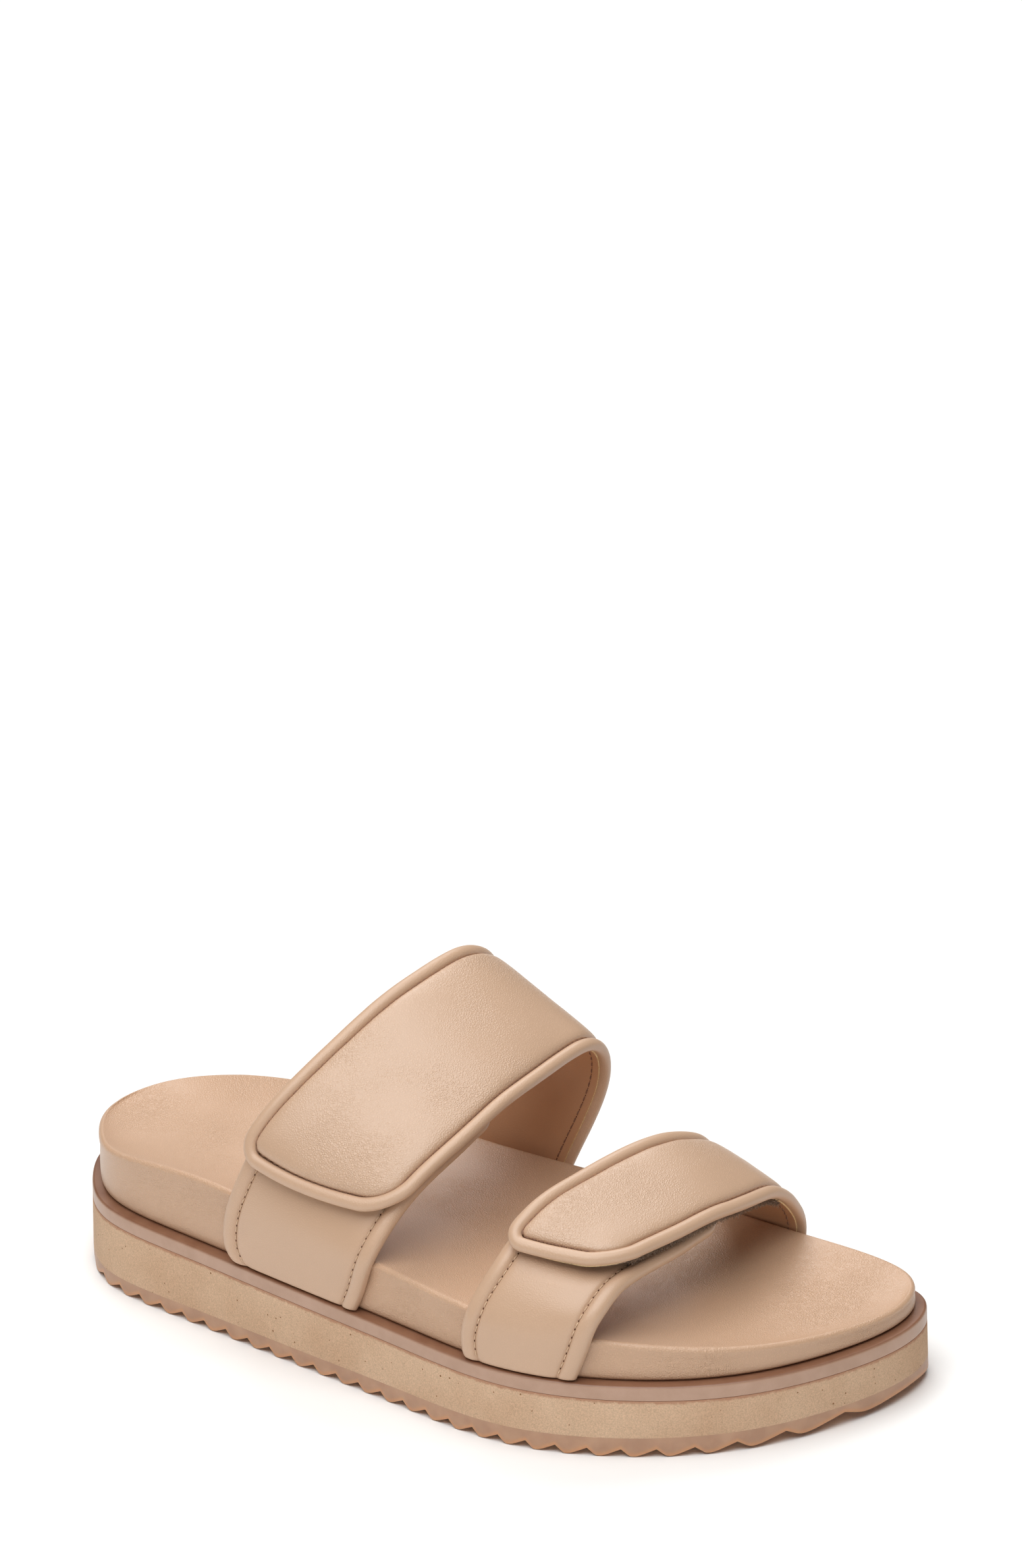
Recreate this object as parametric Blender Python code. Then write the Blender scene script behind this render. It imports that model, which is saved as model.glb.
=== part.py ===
"""Slide sandal for the right foot: ridged outsole, foam midsole, welt, footbed and two hook and loop straps.

The shoe stands on the ground plane with its toe towards +X and its big toe side towards +Y.
"""

import math

import bmesh
import bpy
import numpy as np

# Sizes of the whole shoe, in metres
LENGTH = 0.272
JOIN_GAP = 0.0002
STRAP_GAP = 0.0003
STATIONS = 30

# Outsole: rubber with a sawtooth tread
OUTSOLE_HEEL = 0.0046
OUTSOLE_TOE = 0.0063
TOOTH_DEPTH = 0.0024
TOOTH_PITCH = 0.00901
TOOTH_LAND = 0.0014
TOOTH_LIFT = 0.00015
FIRST_VALLEY = 0.00468
TOE_SPRING = 0.0022
SPRING_START = 0.82 * LENGTH
TOE_CLEAR = 0.005
PAD_INSET = 0.013
PAD_TOP = 0.0036
HEEL_PAD = (0.07 * LENGTH, 0.29 * LENGTH)
FOREFOOT_PAD = (0.52 * LENGTH, 0.81 * LENGTH)

# Midsole: foam wedge, thicker at the heel
FOAM_TOP_HEEL = 0.0221
FOAM_TOP_TOE = 0.0168
FOAM_ROUND = 0.0006

# Welt: flat layer with a bevelled upper edge
WELT_THICKNESS = 0.0044
WELT_BEVEL = 0.0011

# Heel: how far the foam and the welt lean in at the heel end, and over what length that fades
HEEL_LEAN = 0.0017
LEAN_FADE = 0.016

# Footbed: wrapped cushion set in from the welt
FOOTBED_INSET = 0.0037
FOOTBED_ROUND = 0.0029
FOOTBED_FLARE = 0.0004
DISH_WIDTH = 0.055

# Straps
WALL = 0.0024
FLAP = 0.0042
PUFF = 0.0010
BAND = 0.0055
BAND_RISE = 0.0010
TAPE = 0.0012
PIPING = 0.0042
FOOT_FADE = 0.030
LET_EARLY = 0.004
LET_DOWN = 0.042
STAND_PAST = 0.020
STAND_FADE = 0.045
BOW_FULL = 0.020
BOW_GONE = 0.062

# Sole outline from the heel tip round the little toe side, the toe and the big toe side.
# Columns: along and across, as shares of LENGTH
OUTLINE = [
    (0.000, 0.012),
    (0.036, -0.064),
    (0.096, -0.119),
    (0.222, -0.151),
    (0.381, -0.181),
    (0.544, -0.211),
    (0.688, -0.229),
    (0.818, -0.192),
    (0.919, -0.114),
    (0.982, -0.004),
    (1.000, 0.097),
    (0.962, 0.162),
    (0.822, 0.158),
    (0.642, 0.149),
    (0.411, 0.126),
    (0.222, 0.133),
    (0.087, 0.127),
    (0.019, 0.088),
]

# Footbed along the shoe.
# Columns: along, height of the rim, depth of the dish below the rim, how much higher the rim
# is on the big toe side, as shares of LENGTH
FOOTBED = [
    (0.00, 0.145, 0.012, 0.0000),
    (0.12, 0.160, 0.021, 0.0042),
    (0.25, 0.170, 0.021, 0.0045),
    (0.50, 0.151, 0.013, 0.0025),
    (0.75, 0.132, 0.014, 0.0000),
    (0.90, 0.114, 0.012, 0.0000),
    (1.00, 0.098, 0.009, 0.0000),
]

# Strap edges over the foot, from above the welt on the little toe side to the big toe side.
# Columns: along, across, height, as shares of LENGTH
REAR_STRAP_REAR_EDGE = [
    (0.290, -0.168, 0.114),
    (0.295, -0.172, 0.153),
    (0.305, -0.172, 0.181),
    (0.322, -0.164, 0.224),
    (0.335, -0.147, 0.257),
    (0.355, -0.114, 0.291),
    (0.374, -0.067, 0.321),
    (0.395, -0.005, 0.353),
    (0.414, 0.052, 0.375),
    (0.425, 0.102, 0.383),
    (0.427, 0.141, 0.369),
    (0.421, 0.166, 0.342),
    (0.406, 0.182, 0.294),
    (0.386, 0.176, 0.232),
    (0.366, 0.152, 0.165),
]
REAR_STRAP_FRONT_EDGE = [
    (0.489, -0.197, 0.116),
    (0.502, -0.198, 0.151),
    (0.514, -0.179, 0.185),
    (0.526, -0.145, 0.215),
    (0.537, -0.112, 0.234),
    (0.546, -0.074, 0.249),
    (0.556, -0.023, 0.268),
    (0.566, 0.033, 0.284),
    (0.573, 0.088, 0.295),
    (0.577, 0.128, 0.294),
    (0.576, 0.154, 0.275),
    (0.568, 0.166, 0.236),
    (0.555, 0.158, 0.193),
    (0.537, 0.146, 0.147),
    (0.526, 0.139, 0.116),
]
FRONT_STRAP_REAR_EDGE = [
    (0.634, -0.226, 0.110),
    (0.640, -0.225, 0.138),
    (0.646, -0.214, 0.160),
    (0.657, -0.195, 0.188),
    (0.665, -0.169, 0.212),
    (0.672, -0.136, 0.229),
    (0.682, -0.088, 0.237),
    (0.695, -0.036, 0.244),
    (0.706, 0.004, 0.247),
    (0.715, 0.040, 0.245),
    (0.722, 0.074, 0.237),
    (0.724, 0.099, 0.226),
    (0.722, 0.128, 0.199),
    (0.716, 0.145, 0.164),
    (0.708, 0.151, 0.125),
]
FRONT_STRAP_FRONT_EDGE = [
    (0.779, -0.209, 0.112),
    (0.790, -0.202, 0.148),
    (0.795, -0.187, 0.165),
    (0.798, -0.166, 0.177),
    (0.801, -0.140, 0.182),
    (0.807, -0.103, 0.184),
    (0.814, -0.062, 0.186),
    (0.819, -0.018, 0.189),
    (0.824, 0.018, 0.189),
    (0.829, 0.055, 0.190),
    (0.832, 0.088, 0.188),
    (0.834, 0.114, 0.176),
    (0.832, 0.137, 0.156),
    (0.827, 0.155, 0.132),
    (0.824, 0.158, 0.108),
]

# Where each strap meets the welt and how far its pieces reach along it.
# Columns: rear and front foot on the little toe side, rear and front foot on the big toe side
# (shares of LENGTH), then in metres: reach of the base, free end of the flap at its rear and
# front edge, radius of its rear and front corner, how far the flap stands out past the base's edges,
# how far the free end's front edge lies back from the base's edge, how far it stands off the base,
# and how far the free end's line bulges between its corners
STRAPS = {
    "rear": (0.300, 0.476, 0.346, 0.515, 0.090, 0.0345, 0.0365, 0.0075, 0.0125, 0.0010, 0.0000, 0.0000, 0.0026),
    "front": (0.637, 0.767, 0.700, 0.820, 0.087, 0.0335, 0.0368, 0.0070, 0.0105, 0.0003, 0.0030, 0.0020, 0.0004),
}


def clear_scene():
    for obj in list(bpy.data.objects):
        bpy.data.objects.remove(obj, do_unlink=True)


def material(name, colour, roughness):
    made = bpy.data.materials.new(name)
    made.use_nodes = True
    shader = made.node_tree.nodes["Principled BSDF"]
    shader.inputs["Base Color"].default_value = (*colour, 1.0)
    shader.inputs["Roughness"].default_value = roughness
    shader.inputs["Metallic"].default_value = 0.0
    return made


def spline(points, closed=False):
    """Dense points of the cubic spline through these points."""
    p = np.array(points, float)
    if closed:
        p = np.vstack([p, p[:1]])
    knots = np.concatenate([[0.0], np.cumsum(np.linalg.norm(np.diff(p, axis=0), axis=1) ** 0.5)])
    step = np.diff(knots)
    slope = np.diff(p, axis=0) / step[:, None]
    count = len(p)
    left = np.eye(count)
    right = np.zeros_like(p)
    for i in range(1, count - 1):
        left[i, i - 1 : i + 2] = step[i - 1], 2 * (step[i - 1] + step[i]), step[i]
        right[i] = 6 * (slope[i] - slope[i - 1])
    if closed:
        left[0, 0], left[0, 1], left[0, count - 2] = 2 * (step[0] + step[-1]), step[0], step[-1]
        right[0] = 6 * (slope[0] - slope[-1])
        left[count - 1, 0] = -1.0
    bend = np.linalg.solve(left, right)
    t = np.linspace(0.0, knots[-1], 1200)
    i = np.clip(np.searchsorted(knots, t) - 1, 0, count - 2)
    d = (t - knots[i])[:, None]
    h = step[i][:, None]
    first = slope[i] - h * (2 * bend[i] + bend[i + 1]) / 6
    return p[i] + d * first + d**2 * bend[i] / 2 + d**3 * (bend[i + 1] - bend[i]) / (6 * h)


def sole_sides():
    """The outline's little toe side and big toe side, each running from heel to toe."""
    loop = spline(np.array(OUTLINE) * LENGTH, closed=True)[:-1]
    loop = np.roll(loop, -int(loop[:, 0].argmin()), axis=0)
    toe = int(loop[:, 0].argmax())
    big = np.vstack([loop[:1], loop[toe:][::-1]])
    return loop[: toe + 1], big


LITTLE_SIDE, BIG_SIDE = sole_sides()


def outline(inset=0.0, along=None):
    """Loop round the sole, heel tip first, with as many points on one side as on the other."""
    start, end = LITTLE_SIDE[0, 0], LITTLE_SIDE[-1, 0]
    if along is None:
        along = start + (end - start) * (1 - np.cos(np.linspace(0, math.pi, STATIONS + 1))) / 2
    little = np.interp(along, LITTLE_SIDE[:, 0], LITTLE_SIDE[:, 1])
    big = np.interp(along, BIG_SIDE[:, 0], BIG_SIDE[:, 1])
    loop = np.vstack(
        [np.column_stack([along, little]), np.column_stack([along, big])[1:-1][::-1]]
    )
    run = np.roll(loop, -1, axis=0) - np.roll(loop, 1, axis=0)
    run /= np.linalg.norm(run, axis=1)[:, None]
    return loop + inset * np.column_stack([-run[:, 1], run[:, 0]])


def at_height(loop, height):
    return np.column_stack([loop, np.broadcast_to(height, len(loop))])


def leaned(loop, share=1.0):
    """The loop with its heel end moved in by a share of the lean."""
    along = loop[:, 0] + share * HEEL_LEAN * np.exp(-loop[:, 0] / LEAN_FADE)
    return np.column_stack([along, loop[:, 1]])


def foam_top(x):
    return FOAM_TOP_HEEL + (FOAM_TOP_TOE - FOAM_TOP_HEEL) * x / LENGTH


def outsole_top(x):
    return OUTSOLE_HEEL + (OUTSOLE_TOE - OUTSOLE_HEEL) * x / LENGTH


def welt_top(x):
    return foam_top(x) + WELT_THICKNESS


def finish(name, points, faces, look):
    """An object with these points and faces, closed and facing outwards."""
    mesh = bpy.data.meshes.new(name)
    mesh.from_pydata([tuple(map(float, p)) for p in points], [], faces)
    form = bmesh.new()
    form.from_mesh(mesh)
    bmesh.ops.remove_doubles(form, verts=form.verts, dist=1e-6)
    bmesh.ops.recalc_face_normals(form, faces=form.faces)
    if form.calc_volume(signed=True) < 0:
        bmesh.ops.reverse_faces(form, faces=form.faces)
    form.to_mesh(mesh)
    form.free()
    for polygon in mesh.polygons:
        polygon.use_smooth = True
    obj = bpy.data.objects.new(name, mesh)
    bpy.context.scene.collection.objects.link(obj)
    mesh.materials.append(look)
    return obj


def layer(name, rings, look, columns=4, dish=None):
    """A sole layer: rings from the bottom up, both ends filled with lines across the shoe.

    dish(along, share, width) lowers the filling of the top ring.
    """
    count = len(rings[0])
    half = count // 2
    points = [p for ring in rings for p in ring]
    faces = []
    for level in range(len(rings) - 1):
        for i in range(count):
            j = (i + 1) % count
            a, b = level * count, (level + 1) * count
            faces.append((a + i, a + j, b + j, b + i))
    for level, ring in ((0, rings[0]), (len(rings) - 1, rings[-1])):
        rows = [[level * count]]
        for i in range(1, half):
            row = [level * count + i]
            for column in range(1, columns):
                share = column / columns
                p = (1 - share) * ring[i] + share * ring[count - i]
                if dish and level:
                    p = p - np.array([0, 0, dish(p[0], share, ring[count - i][1] - ring[i][1])])
                row.append(len(points))
                points.append(p)
            row.append(level * count + count - i)
            rows.append(row)
        rows.append([level * count + half])
        for one, two in zip(rows, rows[1:]):
            for k in range(columns):
                corners = [one[min(k, len(one) - 1)], one[min(k + 1, len(one) - 1)]]
                corners += [two[min(k + 1, len(two) - 1)], two[min(k, len(two) - 1)]]
                faces.append(tuple(dict.fromkeys(corners)))
    return finish(name, points, faces, look)


def tread(x):
    """Height of the tread's underside: a steep wall, a narrow land, then a slow rise."""
    inside = (x - FIRST_VALLEY) % TOOTH_PITCH
    rise = TOOTH_PITCH - TOOTH_DEPTH - TOOTH_LAND
    if x < FIRST_VALLEY:
        height = TOOTH_DEPTH
    elif inside < TOOTH_DEPTH:
        height = TOOTH_DEPTH - inside
    elif inside < TOOTH_DEPTH + TOOTH_LAND:
        height = 0.0
    else:
        height = TOOTH_DEPTH * (inside - TOOTH_DEPTH - TOOTH_LAND) / rise
    spring = max(0.0, (x - SPRING_START) / (LENGTH - SPRING_START))
    return max(height, TOOTH_LIFT) + TOE_SPRING * spring**2


def flat_field(first, last):
    """Rounded loop inside the outline between two places along the shoe."""
    turn = math.pi + np.linspace(0, 2 * math.pi, 25)[:-1]
    x = (first + last) / 2 + (last - first) / 2 * np.cos(turn)
    little = np.interp(x, LITTLE_SIDE[:, 0], LITTLE_SIDE[:, 1]) + PAD_INSET
    big = np.interp(x, BIG_SIDE[:, 0], BIG_SIDE[:, 1]) - PAD_INSET
    swing = np.sign(np.sin(turn)) * abs(np.sin(turn)) ** 0.6
    return np.column_stack([x, (little + big) / 2 + (big - little) / 2 * swing])


def make_outsole(look):
    stations = set(np.round([0.0, 0.0004, 0.0012, 0.0026], 6))
    stations |= set(np.round(LENGTH - np.array([0.0003, 0.001, 0.0022, 0.004]), 6))
    valley = FIRST_VALLEY
    while valley < LENGTH - 0.003:
        for at in (0.0, TOOTH_DEPTH, TOOTH_DEPTH + TOOTH_LAND):
            if valley + at < LENGTH - TOE_CLEAR:
                stations.add(round(valley + at, 6))
        valley += TOOTH_PITCH
    start, end = LITTLE_SIDE[0, 0], LITTLE_SIDE[-1, 0]
    along = np.array([start] + sorted(s for s in stations if start + 2e-4 < s < end - 2e-4) + [end])
    loop = outline(0.0, along)
    low = at_height(loop, [tread(x) for x in loop[:, 0]])
    high = at_height(loop, outsole_top(loop[:, 0]) - JOIN_GAP)
    outsole = layer("outsole", [low, high], look, columns=3)
    for first, last in (HEEL_PAD, FOREFOOT_PAD):
        pad = flat_field(first, last)
        base = at_height(pad, 0.0)
        top = at_height(pad, PAD_TOP)
        cutter = layer("pad", [base, top], look, columns=2)
        union = outsole.modifiers.new("flat_field", "BOOLEAN")
        union.operation = "UNION"
        union.solver = "EXACT"
        union.object = cutter
        bpy.context.view_layer.objects.active = outsole
        bpy.ops.object.modifier_apply(modifier=union.name)
        bpy.data.objects.remove(cutter, do_unlink=True)
    return outsole


def make_midsole(look):
    outer = outline()
    inner = outline(FOAM_ROUND)
    rings = [
        at_height(outer, outsole_top(outer[:, 0])),
        at_height(leaned(outer, 0.8), foam_top(outer[:, 0]) - FOAM_ROUND - JOIN_GAP),
        at_height(leaned(inner, 0.8), foam_top(inner[:, 0]) - JOIN_GAP),
    ]
    return layer("midsole", rings, look, columns=3)


def make_welt(look):
    outer = outline()
    inner = outline(WELT_BEVEL)
    rings = [
        at_height(leaned(outer, 0.8), foam_top(outer[:, 0])),
        at_height(leaned(outer), welt_top(outer[:, 0]) - WELT_BEVEL * 0.8),
        at_height(leaned(inner), welt_top(inner[:, 0])),
    ]
    return layer("welt", rings, look, columns=3)


def rim(loop):
    """Height of the rim along a loop round the sole; the loop's second half is the big toe side."""
    rows = spline(np.array([row[:2] for row in FOOTBED]) * LENGTH)
    raised = np.array(FOOTBED) * LENGTH
    big = np.arange(len(loop)) > len(loop) // 2
    rise = np.interp(loop[:, 0], raised[:, 0], raised[:, 3])
    return np.interp(loop[:, 0], rows[:, 0], rows[:, 1]) + np.where(big, rise, 0.0)


def dish(x, share, width):
    rows = np.array(FOOTBED) * LENGTH
    depth = np.interp(x, rows[:, 0], rows[:, 2]) * min(1.0, width / DISH_WIDTH)
    return depth * (1 - abs(2 * share - 1) ** 2.4)


def make_footbed(look):
    foot = outline(FOOTBED_INSET)
    rings = [at_height(foot, welt_top(foot[:, 0]) + JOIN_GAP)]
    side = outline(FOOTBED_INSET - FOOTBED_FLARE)
    for turn in (0, 30, 60, 90):
        angle = math.radians(turn)
        inset = FOOTBED_INSET - FOOTBED_FLARE + FOOTBED_ROUND * (1 - math.cos(angle))
        loop = outline(inset)
        fall = FOOTBED_ROUND * (1 - math.sin(angle))
        rings.append(at_height(loop, rim(side) - fall))
    return layer("footbed", rings, look, columns=8, dish=dish)


class Strap:
    """One strap: an arch over the foot between its rear edge and its front edge.

    A place on it is a length along the strap from the little toe side, a share across
    from the rear edge to the front edge, and a height above the base panel's face.
    """

    def __init__(self, feet, rear, front):
        self.edges = []
        self.feet = feet
        for rows, little, big in ((rear, feet[0], feet[2]), (front, feet[1], feet[3])):
            rows = [tuple(np.array(row) * LENGTH) for row in rows]
            rows = [self.foot(little * LENGTH, -1)] + rows + [self.foot(big * LENGTH, 1)]
            line = spline(rows)
            run = np.concatenate([[0.0], np.cumsum(np.linalg.norm(np.diff(line, axis=0), axis=1))])
            self.edges.append((line, run))
        self.reach, self.free_rear, self.free_front = feet[4:7]
        self.rear_corner, self.front_corner, self.overhang = feet[7:10]
        self.set_back, self.stand_off, self.end_bulge = feet[10:]
        self.length = sum(run[-1] for _, run in self.edges) / 2

    def foot(self, x, side):
        wide = LITTLE_SIDE if side < 0 else BIG_SIDE
        edge = np.interp(x, wide[:, 0], wide[:, 1])
        out = FOOTBED_INSET - FOOTBED_FLARE - STRAP_GAP - WALL
        return (x, edge - side * out, welt_top(x) + STRAP_GAP)

    def bow(self, across, side):
        """How far the strap swings out between its edges to follow the footbed's side."""
        rear, front = (self.feet[0], self.feet[1]) if side < 0 else (self.feet[2], self.feet[3])
        ends = [np.array(self.foot(x * LENGTH, side)) for x in (rear, front)]
        x = (rear + (front - rear) * across) * LENGTH
        return np.array(self.foot(x, side)) - (ends[0] * (1 - across) + ends[1] * across)

    def flat(self, along, across):
        share = along / self.length
        ends = []
        for line, run in self.edges:
            at = share * run[-1]
            ends.append(np.array([np.interp(at, run, line[:, k]) for k in range(3)]))
        place = ends[0] * (1 - across) + ends[1] * across
        for side, up in ((-1, along), (1, self.length - along)):
            fade = min(1.0, max(0.0, (BOW_GONE - up) / (BOW_GONE - BOW_FULL)))
            if fade > 0:
                place = place + fade * fade * (3 - 2 * fade) * self.bow(across, side)
        return place

    def normal(self, along, across):
        step = 0.001
        low, high = max(along - step, 0.0), min(along + step, self.length)
        forward = self.flat(along, 1.0) - self.flat(along, 0.0)
        over = self.flat(high, across) - self.flat(low, across)
        out = np.cross(forward, over)
        foot = min(along, self.length - along)
        out[2] *= min(1.0, foot / 0.006)
        return out / np.linalg.norm(out)

    def place(self, along, across, height):
        return self.flat(along, across) + height * self.normal(along, across)

    def width(self, along):
        return float(np.linalg.norm(self.flat(along, 1.0) - self.flat(along, 0.0)))


def panel(name, look, rows, columns, place):
    """A slab: place(row, column, upper) gives the point of its upper or lower face."""
    points = []
    faces = []
    for upper in (1, 0):
        for row in rows:
            for column in columns:
                points.append(place(row, column, upper))
    tall, wide = len(rows), len(columns)
    sheet = tall * wide

    def at(upper, i, j):
        return (0 if upper else sheet) + i * wide + j

    for i in range(tall - 1):
        for j in range(wide - 1):
            for upper in (1, 0):
                corners = [at(upper, i, j), at(upper, i, j + 1), at(upper, i + 1, j + 1), at(upper, i + 1, j)]
                faces.append(tuple(corners))
    for i in range(tall - 1):
        for j in (0, wide - 1):
            faces.append((at(1, i, j), at(0, i, j), at(0, i + 1, j), at(1, i + 1, j)))
    for j in range(wide - 1):
        for i in (0, tall - 1):
            faces.append((at(1, i, j), at(0, i, j), at(0, i, j + 1), at(1, i, j + 1)))
    return finish(name, points, faces, look)


def rounded_end(across, width, rear, front):
    """How far an end with these corner radii stands back at this share across."""
    corner = rear if across < 0.5 else front
    edge = min(across, 1 - across) * width
    if edge >= corner:
        return 0.0
    return corner - math.sqrt(corner**2 - (corner - edge) ** 2)


def free_line(strap, share):
    """Length along the strap at which the flap's free end lies, at a share across the flap."""
    line = strap.free_rear + (strap.free_front - strap.free_rear) * share
    return line - strap.end_bulge * 4 * share * (1 - share)


def held_off(strap, along):
    """How far the free end's front edge lies back: 1 at the end, 0 where the base ends."""
    return min(1.0, max(0.0, (strap.reach - along) / (strap.reach - strap.free_front)))


def flap_across(strap, along, inset, share):
    """Share across the arch for a share across the flap, which is wider than the base."""
    wide = strap.width(along)
    start = inset - strap.overhang
    end = start + strap.set_back * held_off(strap, along)
    return (start + share * (wide - start - end)) / wide


# Section of the base panel's edge band.
# Columns: distance from the panel's edge as a share of BAND, height as a share of BAND_RISE
BAND_SECTION = [(0.0, -0.5), (0.10, 0.45), (0.45, 1.0), (0.82, 0.6), (1.0, 0.0)]


def make_base(strap, name, look):
    middle = strap.width(0.03)
    near = [(share * BAND / middle, rise) for share, rise in BAND_SECTION]
    across = near + [(0.36, 0.0), (0.5, 0.0), (0.64, 0.0)]
    across += [(1 - share, rise) for share, rise in near[::-1]]

    def place(row, column, upper):
        share, rise = across[column]
        end = strap.reach - rounded_end(share, strap.width(strap.reach), 0.012, 0.009)
        along = row * end
        fade = min(1.0, 0.35 + along / 0.006)
        height = rise * BAND_RISE * fade if upper else -WALL
        return strap.place(along, share, height)

    rows = np.linspace(0, 1, 15)
    return panel(name, look, rows, range(len(across)), place)


def flap_under(strap, along, share):
    """Height of the flap's lining: over the tapes first, then let down to the strap's own line."""
    over = 2 * STRAP_GAP + TAPE
    t = min(1.0, max(0.0, (along - strap.reach + LET_EARLY) / LET_DOWN))
    t = t * t * (3 - 2 * t)
    part = min(1.0, max(0.0, (strap.reach + STAND_PAST - along) / STAND_FADE))
    off = strap.stand_off * part * part * (3 - 2 * part) * share**1.5
    return over + (-WALL - over) * t + off


def flap_thick(strap, along):
    left = min(1.0, (strap.length - along) / FOOT_FADE)
    return WALL + (FLAP - WALL) * left


def make_flap(strap, name, look):
    seam = PIPING + STRAP_GAP
    corners = (strap.rear_corner - seam * 0.6, strap.front_corner - seam * 0.6)
    shares = (0.0, 0.015, 0.05, 0.11, 0.22, 0.36, 0.5, 0.64, 0.78, 0.89, 0.95, 0.985, 1.0)
    rows = np.concatenate([[0.0, 0.01, 0.03, 0.06], np.linspace(0.10, 1.0, 21)])

    def place(row, column, upper):
        share = shares[column]
        start = free_line(strap, share) + seam
        start += rounded_end(share, strap.width(start) - 2 * seam - strap.set_back, *corners)
        along = start + row * (strap.length - start)
        wide = strap.width(along)
        across = flap_across(strap, along, seam, share)
        under = flap_under(strap, along, share)
        if not upper:
            return strap.place(along, across, under)
        edge = min(share, 1 - share) * (wide - 2 * seam - strap.set_back * held_off(strap, along))
        from_end = min(edge, max(along - start, 0.0))
        swell = 1 - math.exp(-from_end / 0.004)
        thick = flap_thick(strap, along)
        foot = min(1.0, (strap.length - along) / FOOT_FADE)
        height = under + thick * 0.72 + (thick * 0.28 + PUFF * foot) * swell
        return strap.place(along, across, height)

    return panel(name, look, rows, range(len(shares)), place)


def make_piping(strap, name, look):
    """The bead round the flap, from the big toe side along the rear edge, round the free end and back."""
    half = PIPING / 2
    corners = (strap.rear_corner - half, strap.front_corner - half)
    route = []
    wide_end = strap.width(strap.free_rear) - PIPING + 2 * strap.overhang - strap.set_back

    def start(across):
        return free_line(strap, across) + half + rounded_end(across, wide_end, *corners)

    down = np.linspace(strap.length, start(0.0), 26)
    turn = [1 - math.cos(a) for a in np.linspace(0, math.pi / 2, 6)[1:]]
    round_end = [corners[0] / wide_end * share for share in turn] + [0.32, 0.47, 0.6]
    round_end += [1 - corners[1] / wide_end * share for share in turn[::-1]]
    route += [(along, 0.0) for along in down]
    route += [(start(share), share) for share in round_end]
    route += [(along, 1.0) for along in np.linspace(start(1.0), strap.length, 26)]
    middle = []
    for along, share in route:
        across = flap_across(strap, along, half, share)
        thick = flap_thick(strap, along)
        under = flap_under(strap, along, share)
        centre = strap.place(along, across, under + thick / 2)
        middle.append((centre, strap.normal(along, across), thick / 2))
    sides = 8
    points = []
    for i, (centre, out, tall) in enumerate(middle):
        before = middle[max(i - 1, 0)][0]
        after = middle[min(i + 1, len(middle) - 1)][0]
        run = after - before
        if i in (0, len(middle) - 1):
            run = np.array([0.0, 0.0, run[2]])
        wide = np.cross(run, out)
        wide /= np.linalg.norm(wide)
        for side in range(sides):
            angle = 2 * math.pi * (side + 0.5) / sides
            points.append(centre + half * math.cos(angle) * wide + tall * math.sin(angle) * out)
    faces = [tuple(range(sides)), tuple(range(len(points) - sides, len(points)))]
    for i in range(len(middle) - 1):
        for side in range(sides):
            a, b = i * sides, (i + 1) * sides
            nxt = (side + 1) % sides
            faces.append((a + side, a + nxt, b + nxt, b + side))
    return finish(name, points, faces, look)


def make_tape(strap, name, look):
    """The closed hook and loop pads between base and flap, one layer."""
    first = max(strap.free_rear, strap.free_front) + 0.009
    last = strap.reach - 0.008

    def place(row, column, upper):
        height = STRAP_GAP + (TAPE if upper else 0.0)
        return strap.place(first + row * (last - first), column, height)

    return panel(name, look, np.linspace(0, 1, 7), (0.18, 0.5, 0.82), place)


def stand_at_origin():
    """Moves the shoe so that the middle of its box stands over the origin."""
    meshes = [obj.data for obj in bpy.data.objects if obj.type == "MESH"]
    corners = np.array([v.co for mesh in meshes for v in mesh.vertices])
    low, high = corners.min(axis=0), corners.max(axis=0)
    shift = np.array([(low[0] + high[0]) / 2, (low[1] + high[1]) / 2, low[2]])
    for mesh in meshes:
        for v in mesh.vertices:
            v.co = v.co - type(v.co)(shift)


clear_scene()
leather = material("grained_faux_leather", (0.604, 0.402, 0.266), 0.55)
cover = material("footbed_faux_leather", (0.604, 0.402, 0.266), 0.55)
edge = material("welt_board", (0.462, 0.302, 0.238), 0.6)
foam = material("porous_foam", (0.624, 0.426, 0.242), 0.85)
rubber = material("crepe_rubber", (0.434, 0.250, 0.162), 0.5)
fuzz = material("hook_and_loop", (0.50, 0.42, 0.34), 0.95)

make_outsole(rubber)
make_midsole(foam)
make_welt(edge)
make_footbed(cover)
for key, rear_edge, front_edge in (
    ("rear", REAR_STRAP_REAR_EDGE, REAR_STRAP_FRONT_EDGE),
    ("front", FRONT_STRAP_REAR_EDGE, FRONT_STRAP_FRONT_EDGE),
):
    strap = Strap(STRAPS[key], rear_edge, front_edge)
    make_base(strap, key + "_strap_base", leather)
    make_tape(strap, key + "_strap_tape", fuzz)
    make_flap(strap, key + "_strap_flap", leather)
    make_piping(strap, key + "_flap_piping", leather)
stand_at_origin()
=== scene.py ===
"""Slide sandal for the right foot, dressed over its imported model.

Sizes are in metres. The toe points to +X, the big toe side is +Y, and the shoe stands on the ground plane.
"""

import math

import bmesh
import bpy
import numpy as np
from mathutils import Matrix, Vector, noise


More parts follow.
